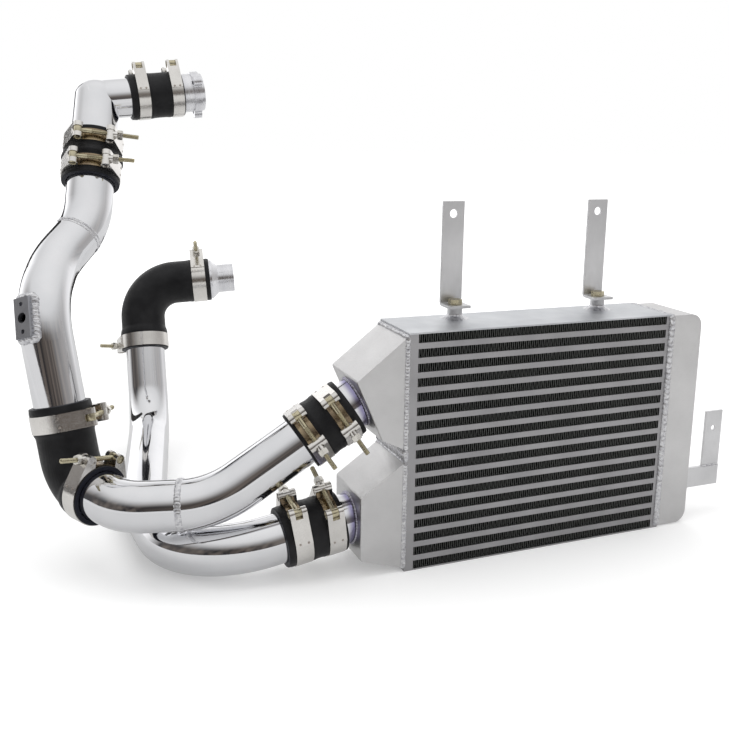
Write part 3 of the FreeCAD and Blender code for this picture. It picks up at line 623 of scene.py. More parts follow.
# Stub welds
# Each stub is welded to the slanting face of its tank; the heat left a purple-blue tint beside it.
# A face is given by the X and Z of its outer and lower corners, in millimetres.
STUB_FACES = ((front_run, (-214.8, 206.9), (-187.7, 144.9)), (rear_run, (-209.0, 86.4), (-208.5, 18.5)))
STUB_WELD = (5.0 * MM, 1.8 * MM)
TINT = (0.30, 0.28, 0.44)
TINT_REACH = (3 * MM, 10 * MM)
TINTED_PURPLES = ((0.40, 0.38, 0.50), (0.52, 0.52, 0.56))


def slanting_face(tip, low):
    """A point of the tank's slanting face, and the face's unit normal away from the core."""
    tip, low = (np.array((x, 0, z)) * MM for x, z in (tip, low))
    return tip, unit(np.cross(tip - low, (0, 1.0, 0)))


def stub_bead(run, tip, low, seed):
    """Bead where the stub's cylinder meets the tank's face: each line of the cylinder is followed
    to the face's plane."""
    _, points, headings, sides, _, _ = run
    heading = headings[0]
    corner, normal = slanting_face(tip, low)
    edge = pipe_circle(points[0], heading, sides[0])
    edge = edge + heading * (((corner - edge) @ normal) / (heading @ normal))[:, None]
    return bead(edge, lambda line: unit(line - edge.mean(0)) + normal, *STUB_WELD, seed)


def heat_tint(name, tip, low):
    """Buffed metal that goes purple within a few millimetres of the slanting tank face."""
    material = metal(name, PIPE_GREYS, rough=(0.06, 0.14), **BUFFED)
    tree = material.node_tree
    corner, normal = slanting_face(tip, low)
    reach = vector_node(tree, "DOT_PRODUCT", object_point(tree), tuple(normal))
    stops = [float(corner @ normal) + stop for stop in TINT_REACH]
    colour_over(material, map_range(tree, reach, stops, (1.0, 0.0), "SMOOTHSTEP"), TINT)
    return material


for node, (_, tip, low) in zip(("upper_tank_stub", "lower_tank_stub"), STUB_FACES):
    dress(heat_tint("tinted " + node.replace("_", " "), tip, low), node)

tinted = metal("heat tinted bead", TINTED_PURPLES, rough=(0.22, 0.40), clouds=90.0, grain=1500.0, depth=0.4)
make_piece("stub_welds", [stub_bead(*face, 21 + k) for k, face in enumerate(STUB_FACES)],
           tinted)


# Silicone hoses and elbows
# Moulded black silicone over cloth, cut square; the navy liner shows at each cut end.
# Pushed over the pipe ends, and swelling a little on both sides of every clamp.
HOSE_BORE = PIPE_R + 0.15 * MM
HOSE_R = HOSE_BORE + 5.2 * MM
ELBOW_R = HOSE_BORE + 3.2 * MM
CUFF_R = ELBOW_R + 1.5 * MM
CUFF_LENGTH = 25 * MM
CUFF_TAPER = 6 * MM
SLIM_HOSE_BORE = 22.15 * MM
SLIM_HOSE_R = SLIM_HOSE_BORE + 3.4 * MM
BAND_WIDTH = 18 * MM
SLIM_BAND_WIDTH = 13 * MM
SWELL = 0.5 * MM
SWELL_REACH = 2.4 * MM
HUMP = 2.4 * MM
HUMP_MIDDLE = 711.75 * MM
HUMP_HALF = 4.75 * MM
HOSE_LIP = 0.8 * MM
HOSE_STEP = 1.2 * MM
UPPER_HOSE_ENDS = (9 * MM, 69 * MM)
LOWER_HOSE_ENDS = (11 * MM, 74 * MM)
RISER_HOSE_ENDS = (683 * MM, 740.5 * MM)
TOP_HOSE_ENDS = (36 * MM, 96.5 * MM)
FRONT_ELBOW_ENDS = (292 * MM, 410 * MM)
REAR_ELBOW_ENDS = (642 * MM, 807 * MM)
SILICONE_BLACKS = ((0.005, 0.005, 0.006), (0.012, 0.012, 0.013))
LINER = (0.006, 0.007, 0.014)
CLOTH_PITCH = 2600.0
CLOTH_DEPTH = 0.22
CLOTH_WAYS = ((1.0, 0.4, 1.0), (1.0, 0.4, -1.0))

# Each clamp: name, run, station in mm, hose radius, band width, side of the bolt, way of its thread
CLAMPS = (
    ("upper_tank_hose_outer", front_run, 58.0, HOSE_R, BAND_WIDTH, (-0.33, -0.84, 0.44), -1),
    ("upper_tank_hose_inner", front_run, 24.0, HOSE_R, BAND_WIDTH, (-0.24, -0.93, 0.29), -1),
    ("front_elbow_lower", front_run, 302.5, CUFF_R, BAND_WIDTH, (0.30, -0.12, 0.95), -1),
    ("front_elbow_upper", front_run, 393.5, CUFF_R, BAND_WIDTH, (0.90, -0.40, 0.19), 1),
    ("riser_hose_lower", front_run, 697.5, HOSE_R, BAND_WIDTH, (-0.12, -0.85, 0.52), 1),
    ("riser_hose_upper", front_run, 728.5, HOSE_R, BAND_WIDTH, (-0.05, -0.86, 0.51), 1),
    ("top_hose_left", top_run, 50.0, SLIM_HOSE_R, SLIM_BAND_WIDTH, (0.0, 0.22, 0.97), -1),
    ("top_hose_right", top_run, 88.5, SLIM_HOSE_R, SLIM_BAND_WIDTH, (0.0, 0.22, 0.97), -1),
    ("lower_tank_hose_outer", rear_run, 58.0, HOSE_R, BAND_WIDTH, (-0.15, -0.19, 0.97), 1),
    ("lower_tank_hose_inner", rear_run, 23.0, HOSE_R, BAND_WIDTH, (-0.14, -0.45, 0.88), 1),
    ("rear_elbow_lower", rear_run, 652.5, CUFF_R, BAND_WIDTH, (-0.36, 0.86, -0.36), 1),
    ("rear_elbow_upper", rear_run, 792.0, ELBOW_R, BAND_WIDTH, (0.06, 0.60, 0.80), 1),
)


def swollen(run, base):
    """Outer radius along a hose: its base radius plus a bell-shaped swell beside every band."""
    bands = [(station * MM, width / 2) for _, held, station, _, width, _, _ in CLAMPS if held is run]

    def outer(stations):
        swell = sum(np.exp(-((np.abs(stations - middle) - half - SWELL_REACH) / SWELL_REACH) ** 2)
                    for middle, half in bands)
        return base(stations) + SWELL * swell
    return outer


def cuffed(*ends):
    """Elbow radius: a thicker cuff along each of the given ends, easing down over a short taper."""
    def radius(stations):
        inside = np.min([np.abs(stations - end) for end in ends], axis=0)
        ease = np.clip((CUFF_LENGTH + CUFF_TAPER - inside) / CUFF_TAPER, 0, 1)
        return ELBOW_R + (CUFF_R - ELBOW_R) * ease * ease * (3 - 2 * ease)
    return radius


def humped(stations):
    """Round hump between the two clamps: an arc of that height over that chord."""
    bend = (HUMP_HALF ** 2 + HUMP ** 2) / (2 * HUMP)
    off = np.clip(np.abs(stations - HUMP_MIDDLE), 0, HUMP_HALF)
    return HOSE_R + np.sqrt(bend ** 2 - off ** 2) - (bend - HUMP)


def build_cloth():
    """Imprint of the cloth under the silicone: two crossed waves on Object coordinates."""
    tree, _, gives = start_group("cloth", {}, {"Normal": "Vector"})
    where = object_point(tree)
    waves = []
    for way in CLOTH_WAYS:
        ahead = vector_node(tree, "DOT_PRODUCT", where, way)
        waves.append(math_node(tree, "SINE", math_node(tree, "MULTIPLY", ahead, CLOTH_PITCH)))
    feed(tree, gives, Normal=bumped(tree, math_node(tree, "MULTIPLY", *waves), CLOTH_DEPTH))
    return tree


silicone = grained("black silicone", SILICONE_BLACKS, rough=(0.36, 0.50), clouds=60.0, grain=300.0,
                   Specular_IOR_Level=0.22)
tree = silicone.node_tree
colour_over(silicone, place(tree, "ShaderNodeAttribute", attribute_name="rim").outputs["Fac"], LINER)
feed(tree, tree.nodes["Principled BSDF"], Normal=place_group(tree, build_cloth())["Normal"])


def hose(node, run, ends, base, bore=HOSE_BORE):
    """Sleeve over the run with its cut ends marked, so that they take the liner's colour."""
    low, high = ends
    stations, radii = wall(low, high, swollen(run, base), bore, HOSE_STEP, HOSE_LIP)
    grid = sleeve(run, (stations, radii))
    inside = (stations < low + HOSE_LIP / 2) | (stations > high - HOSE_LIP / 2) | (radii < bore + MM)
    make_piece(node + "_sleeve", [shell(grid)], silicone, (node,),
               marks={"rim": np.repeat(inside, grid.shape[1])})


hose("upper_tank_hose", front_run, UPPER_HOSE_ENDS, plain_radius(HOSE_R))
hose("lower_tank_hose", rear_run, LOWER_HOSE_ENDS, plain_radius(HOSE_R))
hose("riser_hose", front_run, RISER_HOSE_ENDS, humped)
hose("top_hose", top_run, TOP_HOSE_ENDS, plain_radius(SLIM_HOSE_R), SLIM_HOSE_BORE)
hose("front_silicone_elbow", front_run, FRONT_ELBOW_ENDS, cuffed(*FRONT_ELBOW_ENDS))
hose("rear_silicone_elbow", rear_run, REAR_ELBOW_ENDS, cuffed(REAR_ELBOW_ENDS[0]))


# Clamp bands and bridges
# Bright stainless strip folded back round two pins and spot welded to itself.
# A thin bridge under the gap, straw coloured from heat, keeps the hose from bulging.
BAND_GAP = 0.3 * MM
BAND_THICK = 0.8 * MM
BOLT_RISE = 5.5 * MM
LOOP_REACH = 17 * MM
LOOP_R = 5.1 * MM
SPOT_R = 1.3 * MM
SPOT_HEIGHT = 0.25 * MM
SPOT_AHEAD = math.radians(3.4)
SPOT_ASIDE = 0.24
SPOT_RADII = (0, 1, 0.95, 0.7, 0.35, 0)
SPOT_HEIGHTS = (-1, -1, 0.5, 1, 0.8, 0.7)
STAINLESS_GREYS = ((0.82, 0.80, 0.77), (0.70, 0.68, 0.65))
STRAW_BROWNS = ((0.44, 0.35, 0.22), (0.26, 0.20, 0.14))
SPOT_BROWNS = ((0.52, 0.47, 0.42), (0.40, 0.36, 0.33))
stainless = metal("bright stainless", STAINLESS_GREYS, rough=(0.13, 0.26), clouds=45.0,
                  grain=700.0, depth=0.05)
straw = metal("straw tinted stainless", STRAW_BROWNS, rough=(0.16, 0.34), clouds=70.0,
              grain=700.0, depth=0.05)
spot_metal = metal("spot weld", SPOT_BROWNS, rough=(0.25, 0.45), clouds=400.0, grain=1500.0)
dress(stainless, *(clamp[0] + "_clamp_band" for clamp in CLAMPS), "clamp_trunnions")
dress(straw, "clamp_bridges")


def clamp_frame(run, station, side, thread):
    """Centre of a clamp and its rows of axes: out to the bolt, along the thread, and across."""
    centre, way, _ = follow_one(run, station * MM)
    out = np.array(side)
    out = unit(out - way * (out @ way))
    tail = np.cross(way, out) * thread
    return centre, np.stack([out, tail, np.cross(out, tail)])


def strap_lines(radius):
    """How far out the bolt runs, the radius over the doubled strap, and the turn from the bolt's
    side at which the strap leaves the circle for the loop round a pin."""
    bolt_out = radius + BOLT_RISE
    strap_r = radius + BAND_GAP + 2 * BAND_THICK
    to_pin = math.atan2(LOOP_REACH, bolt_out)
    leaving = to_pin + math.acos((strap_r - LOOP_R) / math.hypot(bolt_out, LOOP_REACH))
    return bolt_out, strap_r, leaving


def turned_about(origin, axis, side, distances, radii, columns=24):
    """Rings about an axis at the distances along it. Radii are one for each ring, or a row each."""
    if radii.ndim == 1:
        radii = np.repeat(radii[:, None], columns, 1)
    ring = round_ways(side, np.cross(axis, side), radii.shape[1])
    return origin + axis * distances[:, None, None] + ring * radii[..., None]


spots = []
for _, run, station, radius, width, side, thread in CLAMPS:
    centre, axes = clamp_frame(run, station, side, thread)
    _, strap_r, leaving = strap_lines(radius)
    for end in (-1, 1):
        angle = end * (leaving + SPOT_AHEAD)
        normal = np.array((math.cos(angle), math.sin(angle), 0)) @ axes
        for across in (-SPOT_ASIDE, SPOT_ASIDE):
            spot = centre + normal * strap_r + axes[2] * across * width
            lens = turned_about(spot, normal, axes[2], np.array(SPOT_HEIGHTS) * SPOT_HEIGHT,
                                np.array(SPOT_RADII) * SPOT_R, 14)
            spots.append(shell(lens, wrap_rows=False))
make_piece("clamp_spot_welds", spots, spot_metal)


# T-bolts and nuts
# Yellow zinc plated T-bolts, threaded most of the way, each pulled up by one chamfered hex nut.
BOLT_R = 2.5 * MM
BOLT_TAIL = 47 * MM
BOLT_TIP = 0.7 * MM
THREAD_START = -3 * MM
THREAD_END = BOLT_TAIL - 0.5 * MM
THREAD_PITCH = 1.0 * MM
THREAD_DEPTH = 0.42 * MM
THREAD_SLOPE = 1.5
THREAD_CREST = 0.3
THREAD_STEPS = 5
THREAD_COLUMNS = 16
PIN_R = 4.25 * MM
PIN_EDGE = 0.4 * MM
PIN_SHORT = 1 * MM
NUT_FLATS = 9 * MM
NUT_HEIGHT = 6 * MM
NUT_SEAT = 0.1 * MM
NUT_CLEARANCE = 0.1 * MM
NUT_CHAMFER = (0, 0.15 * MM, 0.3 * MM, 0.45 * MM, 0.65 * MM)
NUT_CHAMFER_START = 0.96
NUT_COLUMNS = 48
ZINC_YELLOWS = ((0.64, 0.58, 0.40), (0.46, 0.42, 0.31))
NUT_GREYS = ((0.80, 0.78, 0.72), (0.64, 0.62, 0.58))
zinc = metal("yellow zinc plate", ZINC_YELLOWS, rough=(0.20, 0.36), clouds=120.0, grain=900.0, depth=0.1)
nut_metal = metal("bright nut", NUT_GREYS, rough=(0.16, 0.32), clouds=160.0, grain=900.0, depth=0.08)


def rounded_pin(origin, axis, side, half):
    """Rod of the pin's radius, half its length each way, with chamfered ends."""
    distances = np.array([-half, -half, PIN_EDGE - half, half - PIN_EDGE, half, half])
    radii = np.array([0, PIN_R - PIN_EDGE, PIN_R, PIN_R, PIN_R - PIN_EDGE, 0])
    return shell(turned_about(origin, axis, side, distances, radii), wrap_rows=False)


def threaded_rod(origin, axis, side, low):
    """Plain shank, then a thread: radius = crest - depth x groove, where the groove is a clipped
    triangle wave of (distance over pitch - turn)."""
    distances = np.arange(low, THREAD_END, THREAD_PITCH / THREAD_STEPS)
    turn = np.linspace(0, 1, THREAD_COLUMNS, endpoint=False)
    phase = (distances[:, None] / THREAD_PITCH - turn[None, :]) % 1
    groove = np.clip(THREAD_SLOPE * np.abs(2 * phase - 1) - THREAD_CREST, 0, 1)
    groove = groove * np.clip((distances[:, None] - THREAD_START) / THREAD_PITCH, 0, 1)
    radii = BOLT_R - THREAD_DEPTH * groove
    ends = np.ones(THREAD_COLUMNS)
    radii = np.concatenate([[0 * ends], radii, [(BOLT_R - BOLT_TIP) * ends, 0 * ends]])
    distances = np.concatenate([[low], distances, [BOLT_TAIL, BOLT_TAIL]])
    return shell(turned_about(origin, axis, side, distances, radii), wrap_rows=False)


def chamfered_nut(origin, axis, side, low):
    """Hexagon cut by a cone at both ends: radius = smaller of hexagon(turn) and cone(distance)."""
    turn = full_turn(NUT_COLUMNS)
    sixth = math.pi / 3
    hexagon = NUT_FLATS / 2 / np.cos(turn % sixth - sixth / 2)
    inward = np.array(NUT_CHAMFER)
    ahead = np.concatenate([inward, NUT_HEIGHT - inward[::-1]])
    inward = np.concatenate([inward, inward[::-1]])
    cone = NUT_FLATS / 2 * NUT_CHAMFER_START + inward * math.tan(sixth)
    radii = np.minimum(hexagon[None, :], cone[:, None])
    bore = np.full((1, NUT_COLUMNS), BOLT_R + NUT_CLEARANCE)
    radii = np.concatenate([bore, radii, bore])
    distances = low + np.concatenate([[0], ahead, [NUT_HEIGHT]])
    return shell(turned_about(origin, axis, side, distances, radii))


nuts = []
for name, run, station, radius, width, side, thread in CLAMPS:
    centre, (out, tail, across) = clamp_frame(run, station, side, thread)
    bolt_out, strap_r, leaving = strap_lines(radius)
    strap_ahead = (strap_r - math.cos(leaving) * (bolt_out - NUT_FLATS / math.sqrt(3))) / math.sin(leaving)
    line = centre + out * bolt_out
    pin = rounded_pin(line - tail * LOOP_REACH, across, out, width / 2 - PIN_SHORT)
    shank = threaded_rod(line, tail, out, -LOOP_REACH)
    make_piece(name + "_t_bolt", [pin, shank], zinc, (name + "_clamp_bolt",), sharp=50)
    nuts.append(chamfered_nut(line, tail, out, strap_ahead + NUT_SEAT))
make_piece("chamfered_nuts", nuts, nut_metal, ("clamp_nuts",), sharp=25)


# Sensor flange
# Small milled block with a port and two screw holes, welded to the riser by a heavy rippled bead.
SENSOR_STATION = 495 * MM
SENSOR_FACING = (-0.729495, -0.619912, 0.289043)
SENSOR_HALF_WIDTH = 9.25 * MM
SENSOR_HALF_HEIGHT = 20.75 * MM
SENSOR_BEAD_OUT = 1.6 * MM
SENSOR_BEAD_ROUND = 4 * MM
SENSOR_BEAD = (8.5 * MM, 3.0 * MM)
SENSOR_LEAN = 0.9
SENSOR_STEP = 2 * MM
SENSOR_RIPPLE = 3.8 * MM
SENSOR_EDGE = 0.4 * MM
MILLED_GREYS = ((0.52, 0.53, 0.56), (0.42, 0.43, 0.46))
milled = metal("milled flange", MILLED_GREYS, rough=(0.34, 0.5), clouds=60.0, grain=900.0,
               stretch=(1, 1, 5), depth=0.12)


def softened(node, bevel, material, sharp=35):
    """Copy of a solid's mesh with its flat triangles joined and its sharp edges rounded."""
    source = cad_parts[node]
    work = bmesh.new()
    work.from_mesh(source.data)
    work.transform(source.matrix_world)
    bmesh.ops.remove_doubles(work, verts=work.verts, dist=5e-6)
    bmesh.ops.dissolve_limit(work, angle_limit=math.radians(0.5), verts=work.verts, edges=work.edges)
    work.verts.index_update()
    points = [tuple(vertex.co) for vertex in work.verts]
    faces = [[vertex.index for vertex in face.verts] for face in work.faces]
    work.free()
    mesh = bpy.data.meshes.new(node + "_softened")
    mesh.from_pydata(points, [], faces)
    piece = finish_piece(node + "_softened", mesh, material, (node,), sharp)
    rounding = piece.modifiers.new("rounding", "BEVEL")
    rounding.width = bevel
    rounding.segments = 2
    rounding.limit_method = "ANGLE"
    rounding.angle_limit = math.radians(sharp)
    rounding.harden_normals = True


softened("sensor_flange", SENSOR_EDGE, milled)


def sensor_bead():
    """Rounded rectangle (a, b) round the block, each point laid on the riser's cylinder at
    facing x square root of (radius squared - a squared)."""
    centre, way, _ = follow_one(front_run, SENSOR_STATION)
    facing = np.array(SENSOR_FACING)
    facing = unit(facing - way * (facing @ way))
    across = np.cross(way, facing)
    half = np.array((SENSOR_HALF_WIDTH, SENSOR_HALF_HEIGHT)) + SENSOR_BEAD_OUT
    flat = rounded_rectangle(-half, half, SENSOR_BEAD_ROUND, 7)
    evened, _, _ = resampled(np.pad(flat, ((0, 0), (0, 1))), SENSOR_STEP, True)
    a, b = evened[:, :1], evened[:, 1:2]
    line = centre + across * a + way * b + facing * np.sqrt(PIPE_R ** 2 - a ** 2)

    def lift(points):
        away = points - centre - facing * ((points - centre) @ facing)[:, None]
        return unit(away) + SENSOR_LEAN * facing
    return bead(line, lift, *SENSOR_BEAD, 31, ripple=SENSOR_RIPPLE, columns=18)


make_piece("sensor_weld", [sensor_bead()], weld_material)


# Turned adapters
# Two turned ends: a three-lobed flange at the top and a stepped spigot at the back.
# Fine tool marks run round them, so they are paler and darker in rings.
TURNED_GREYS = ((0.86, 0.86, 0.88), (0.70, 0.70, 0.73))
TOOL_MARKS = 420.0
TOOL_BANDS = 90.0
TOOL_ROUGH = (0.16, 0.34)
TOOL_DEPTH = 0.12
LOBE_EDGE = 0.6 * MM


def turned_metal(name, origin, axis):
    """Rings: noise read at (distance from the axis, distance along it)."""
    material, tree, shader = start_material(name, Metallic=1.0)
    apart = vector_node(tree, "SUBTRACT", object_point(tree), tuple(origin))
    ahead = vector_node(tree, "DOT_PRODUCT", apart, tuple(axis))
    off = vector_node(tree, "LENGTH", vector_node(tree, "CROSS_PRODUCT", apart, tuple(axis)))
    flat = place(tree, "ShaderNodeCombineXYZ", {"X": off, "Y": ahead}).outputs["Vector"]
    rings = noise_value(tree, flat, TOOL_MARKS, 4.0)
    mask = spread_value(tree, noise_value(tree, flat, TOOL_BANDS, 1.0))
    feed(tree, shader, Base_Color=blend_colours(tree, mask, *TURNED_GREYS),
         Roughness=spread_value(tree, rings, *TOOL_ROUGH), Normal=bumped(tree, rings, TOOL_DEPTH))
    return material


end_point, end_way, _ = follow_one(rear_run, REAR_ELBOW_ENDS[1])
softened("lobed_flange_adapter", LOBE_EDGE, turned_metal("turned flange", TOP_CORNER * MM, top_way))
dress(turned_metal("turned spigot", end_point, end_way), "stepped_adapter")


# Mounting brackets
# Sheared strap bent to a foot, brushed along its length, bolted down on a short turned boss.
# The bosses are welded to the top plate with a flared white fillet.
BOSS_Y = 18 * MM
BOSS_X = (-84 * MM, 96 * MM)
BOSS_R = 8 * MM
FLARE_REACH = 7.5 * MM
FLARE_HEIGHT = 5.5 * MM
FLARE_POWER = 2.2
FLARE_INSIDE = 0.3 * MM
FLARE_COLUMNS = 64
FLARE_WAVES = (17, 3)
FLARE_RIPPLE = 0.05
STRAP_EDGE = 0.35 * MM
STRAP_GREYS = ((0.80, 0.80, 0.81), (0.70, 0.70, 0.71))
strap_metal = metal("brushed strap", STRAP_GREYS, rough=(0.34, 0.48), clouds=24.0, grain=700.0,
                    stretch=(1, 1, 0.12), depth=0.12)
for side in ("left", "right"):
    softened(side + "_mounting_bracket", STRAP_EDGE, strap_metal)
softened("bracket_bolts", STRAP_EDGE, zinc)
dress(strap_metal, "bracket_bosses")


def flare(x, y, seed):
    """Fillet round a boss: radius = boss + reach x (1 - rise) to the flare's power, rippled by the
    turn."""
    rise = np.linspace(0, 1, 9)
    angle = full_turn(FLARE_COLUMNS)
    chance = np.random.default_rng(seed)
    ripple = 1 + sum(FLARE_RIPPLE * np.cos(angle * waves + chance.uniform(0, 6)) for waves in FLARE_WAVES)
    radii = BOSS_R + FLARE_REACH * ((1 - rise) ** FLARE_POWER)[:, None] * ripple
    heights = CORE_TOP + FLARE_HEIGHT * rise
    inner = np.full((2, FLARE_COLUMNS), BOSS_R - FLARE_INSIDE)
    radii = np.concatenate([radii, inner])
    heights = np.concatenate([heights, heights[-1:], heights[:1]])
    return shell(turned_about(np.array((x, y, 0)), UPWARD, SIDEWARD, heights, radii))


make_piece("boss_fillets", [flare(x, BOSS_Y, 41 + k) for k, x in enumerate(BOSS_X)], weld_material)


# Side arm
# Flat bar welded edge-on to the return tank, with a thinner drilled tab welded on its end.
RETURN_FACE = 200.75 * MM
ARM_END = 277 * MM
ARM_HALF = 2.5 * MM
ARM_LOW = 25.5 * MM
ARM_HIGH = 50.5 * MM
ARM_EDGE = 0.5 * MM
ARM_WELD = (4 * MM, 1.6 * MM)
ARM_WELD_LEAN = (0.8, 0, 0)
TAB_START = 252 * MM
TAB_EDGE = 0.4 * MM
TAB_WELD = (3.6 * MM, 1.3 * MM)
TAB_WELD_OUT = 1.8 * MM
softened("side_arm", ARM_EDGE, strap_metal)
softened("side_arm_tab", TAB_EDGE, strap_metal)
arm_loop = np.array([(RETURN_FACE, y, z) for y, z in (
    (-ARM_HALF, ARM_LOW), (ARM_HALF, ARM_LOW), (ARM_HALF, ARM_HIGH), (-ARM_HALF, ARM_HIGH))])
arm_middle = arm_loop.mean(0)
arm_beads = [bead(arm_loop, lambda line: unit(line - arm_middle) + ARM_WELD_LEAN, *ARM_WELD, 51)]
for seed, y in enumerate((-TAB_WELD_OUT, TAB_WELD_OUT), 52):
    line = np.array([(TAB_START, y, ARM_HIGH), (ARM_END, y, ARM_HIGH)])
    arm_beads.append(bead(line, (0, np.sign(y), 1.0), *TAB_WELD, seed, closed=False))
make_piece("arm_welds", arm_beads, weld_material)


# Studio
# White floor that runs on into the background, with pale light all round and two soft lamps.
# The floor is lit by them and keeps the object's shadow; a small share of glow brings it to white.
WORLD_LEVEL = 0.8
WHITE = (1, 1, 1, 1)
FLOOR_WHITE = (0.97, 0.97, 0.97, 1)
FLOOR_HALF = 12.0
FLOOR_SHARE = 0.14
FLOOR_GLOW = 1.5
# In mirrors the floor glows dimmer near the object than far off: a painted shade for the floor round the
# object
MIRRORED_SHARE = 0.55
MIRRORED_SHADED_NEAR = 0.45
MIRRORED_FAR = 0.82
PLAIN_RANGE = (0.75, 1.5)
OBJECT_MIDDLE = (-0.12, 0.2, 0)
world = bpy.data.worlds.new("studio")
bpy.context.scene.world = world
world.use_nodes = True
tree = world.node_tree
background = tree.nodes["Background"]
background.inputs["Color"].default_value = WHITE
rays = place(tree, "ShaderNodeLightPath").outputs
shown = math_node(tree, "MAXIMUM", rays["Is Camera Ray"], rays["Is Glossy Ray"])
shown = math_node(tree, "MAXIMUM", shown, rays["Is Transmission Ray"])
feed(tree, background, Strength=map_range(tree, shown, (0.0, 1.0), (WORLD_LEVEL, 1.0)))


def start_bare(name):
    """New material whose surface is still to be linked."""
    material, tree, shader = start_material(name)
    tree.nodes.remove(shader)
    return material, tree


def end_surface(tree, shader):
    feed(tree, tree.nodes["Material Output"], Surface=shader)


def emission(tree, colour, strength):
    made = place(tree, "ShaderNodeEmission", {"Color": colour, "Strength": strength})
    return made.outputs["Emission"]


def stage_piece(name, points, faces, material):
    """Mesh of the studio, no part of the object."""
    mesh = bpy.data.meshes.new(name)
    mesh.from_pydata(points, [], faces)
    mesh.materials.append(material)
    piece = add_object(name, mesh)
    return piece


def stage_mirrored(name, points, faces, material):
    """Mesh of the studio that shows only in mirrors, and lights and shades nothing else."""
    piece = stage_piece(name, points, faces, material)
    piece.visible_camera = piece.visible_diffuse = piece.visible_shadow = False


floor_material, tree = start_bare("white floor")
away = vector_node(tree, "LENGTH", vector_node(tree, "SUBTRACT", object_point(tree), OBJECT_MIDDLE))
plain = map_range(tree, away, PLAIN_RANGE, curve="SMOOTHSTEP")
rays = place(tree, "ShaderNodeLightPath").outputs
seen = rays["Is Camera Ray"]
mirrored = math_node(tree, "MULTIPLY", rays["Is Glossy Ray"], MIRRORED_SHARE)
share = math_node(tree, "MULTIPLY_ADD", seen, FLOOR_SHARE, mirrored)
share = math_node(tree, "MAXIMUM", plain, share)
matte = place(tree, "ShaderNodeBsdfDiffuse", {"Color": FLOOR_WHITE}).outputs["BSDF"]
# Glow seen in mirrors: dimmer near the object as painted shade, rising to the far level away from it
mirrored_glow_painted_shade = map_range(tree, plain, (0.0, 1.0), (MIRRORED_SHADED_NEAR, MIRRORED_FAR))
glow = emission(tree, WHITE, map_range(tree, seen, (0.0, 1.0), (mirrored_glow_painted_shade, FLOOR_GLOW)))
end_surface(tree, place(tree, "ShaderNodeMixShader", {0: share, 1: matte, 2: glow}).outputs["Shader"])
corners = [(x * FLOOR_HALF, y * FLOOR_HALF, 0) for x, y in ((-1, -1), (1, -1), (1, 1), (-1, 1))]
stage_piece("floor", corners, [(0, 1, 2, 3)], floor_material)


def aimed(aim, at):
    """Turn and place of a lamp or the like at one point that looks at another."""
    back = unit(np.array(at) - np.array(aim))
    right = unit(np.cross(UPWARD, back))
    matrix = np.eye(4)
    matrix[:3] = np.stack([right, np.cross(back, right), back, at], 1)
    return Matrix(matrix.tolist())


# Each lamp: name, place, aim, size and power
LAMPS = (("overhead", (-0.2, 0.35, 2.0), (-0.15, 0.2, 0.15), (2.2, 1.8), 22),
         ("front", (0.9, -1.9, 1.2), (-0.1, 0.1, 0.15), (1.4, 1.4), 7))
for name, at, aim, size, power in LAMPS:
    lamp = add_object(name, bpy.data.lights.new(name, "AREA"))
    lamp.data.shape = "RECTANGLE"
    lamp.data.size, lamp.data.size_y = size
    lamp.data.energy = power
    lamp.visible_glossy = False
    lamp.matrix_world = aimed(aim, at)


# Surround
# A dome that only polished metal sees. Overhead it is pale; lower down its walls are bright
# behind the object and dark, with faint streaks, on the camera's side, as in a photo studio.
DOME_R = 5.0
DOME_FOOT = 0.004
DOME_RINGS = 25
DOME_COLUMNS = 72
CAMERA_TURN = math.radians(-114)
ROOM_GREYS = ((0.015, 0.015, 0.018), (0.15, 0.125, 0.108))
WALL_PALE = (1.6, 1.6, 1.61)
STREAK_STRETCH = (1, 1, 0.3)
STREAK_SCALE = 7.0
WALLS_FADE = (0.26, 0.74)

# Levels of grey, by height (the Z of a direction) and by the turn in degrees from the camera
SKY = ((0.0, 0.30), (0.04, 0.80), (0.30, 0.74), (0.62, 0.78), (1.0, 0.94))
ROUND = ((-180, 0.72), (-162, 0.70), (-140, 0.90), (-118, 0.95), (-100, 0.50), (-84, 0.03), (-8, 0.0),
         (28, 0.02), (44, 0.12), (90, 0.22), (120, 0.31), (148, 0.62), (180, 0.72))


def grey_ramp(tree, value, stops):
    """Colour ramp of greys through the (position, level) stops."""
    made = place(tree, "ShaderNodeValToRGB", {"Fac": value})
    held = made.color_ramp.elements
    for _ in stops[2:]:
        held.new(0.5)
    for stop, (position, shade) in zip(held, stops):
        stop.position = position
        stop.color = (shade, shade, shade, 1)
    return made.outputs["Color"]


rise = np.linspace(DOME_FOOT, math.pi / 2, DOME_RINGS)
dome = turned_about(np.zeros(3), UPWARD, SIDEWARD, DOME_R * np.sin(rise),
                    DOME_R * np.cos(rise), DOME_COLUMNS)
points, faces = shell(dome, wrap_rows=False)
surround_material, tree = start_bare("surround")
way = vector_node(tree, "NORMALIZE", object_point(tree))
height = place(tree, "ShaderNodeSeparateXYZ", {"Vector": way}).outputs["Z"]
sky = grey_ramp(tree, height, SKY)
ahead = vector_node(tree, "DOT_PRODUCT", way, (math.cos(CAMERA_TURN), math.sin(CAMERA_TURN), 0))
beside = vector_node(tree, "DOT_PRODUCT", way, (-math.sin(CAMERA_TURN), math.cos(CAMERA_TURN), 0))
turn = map_range(tree, math_node(tree, "ARCTAN2", beside, ahead), (-math.pi, math.pi))
walls = grey_ramp(tree, turn, [((angle + 180) / 360, shade) for angle, shade in ROUND])
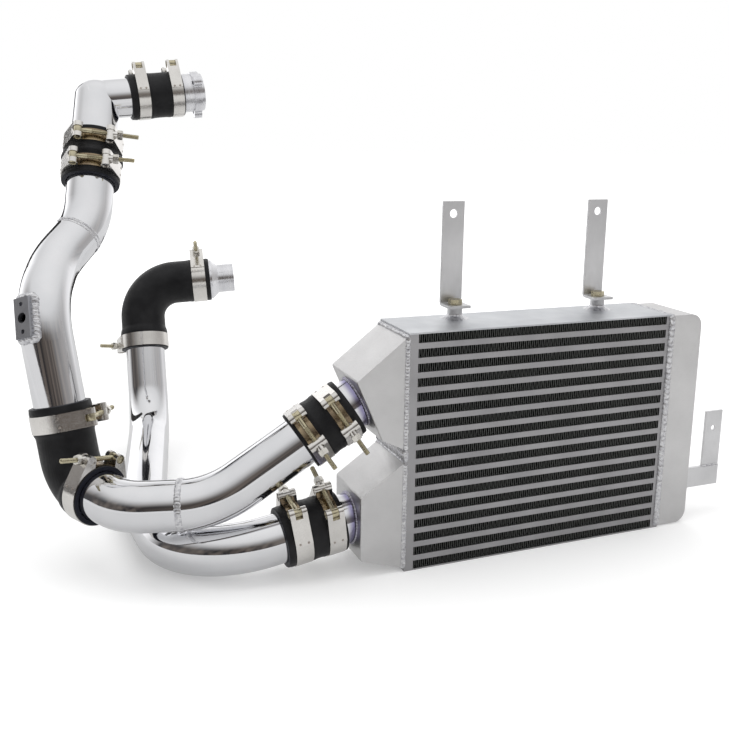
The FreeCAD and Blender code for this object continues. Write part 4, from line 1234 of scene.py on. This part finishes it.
streaks = noise_value(tree, vector_node(tree, "MULTIPLY", way, STREAK_STRETCH), STREAK_SCALE, 1.0)
room = blend_colours(tree, spread_value(tree, streaks), *ROOM_GREYS)
walls = blend_colours(tree, walls, room, WALL_PALE)
low_down = map_range(tree, height, WALLS_FADE, (1.0, 0.0), "SMOOTHSTEP")
end_surface(tree, emission(tree, blend_colours(tree, low_down, sky, walls), 1.0))
stage_mirrored("surround", points.tolist(), faces.tolist(), surround_material)


# Edge card
# A narrow dark panel behind the pipes, which draws the thin dark lines down their sides.
CARD_AT = np.array((-0.80, 1.15, DOME_FOOT))
CARD_AIM = np.array((-0.35, 0.2, DOME_FOOT))
CARD_WIDTH = 0.20
CARD_RISE = np.array((0, 0, 1.1))
CARD_GREYS = ((0.03, 0.03, 0.03), (0.048, 0.045, 0.042))
aside = np.cross(UPWARD, unit(CARD_AIM - CARD_AT)) * CARD_WIDTH / 2
corners = (CARD_AT - aside, CARD_AT + aside, CARD_AT + aside + CARD_RISE, CARD_AT - aside + CARD_RISE)
card_material, tree = start_bare("edge card")
clouds = place_group(tree, cloud_group, Scale=6.0)
end_surface(tree, emission(tree, blend_colours(tree, clouds["Mask"], *CARD_GREYS), 1.0))
stage_mirrored("edge_card", [tuple(corner) for corner in corners], [(0, 1, 2, 3)], card_material)


# Camera
# Solved from the straight edges and rows of the core; the shift only frames it as photographed.
RIGHT = (0.91366, -0.40575, 0.02421)
UP = (0.06624, 0.20738, 0.97602)
BACK = (-0.40104, -0.89015, 0.21635)
CAMERA_AT = (-0.5431, -0.8876, 0.4560)
SENSOR_WIDTH = 36.0
LENS = 48.174
SHIFT = (-0.0626, -0.0390)
camera_data = bpy.data.cameras.new("camera")
camera = add_object("camera", camera_data)
bpy.context.scene.camera = camera
camera_data.sensor_width = SENSOR_WIDTH
camera_data.lens = LENS
camera_data.shift_x, camera_data.shift_y = SHIFT
camera.matrix_world = Matrix([*zip(RIGHT, UP, BACK, CAMERA_AT), (0, 0, 0, 1)])
bpy.context.scene.view_settings.view_transform = "Standard"
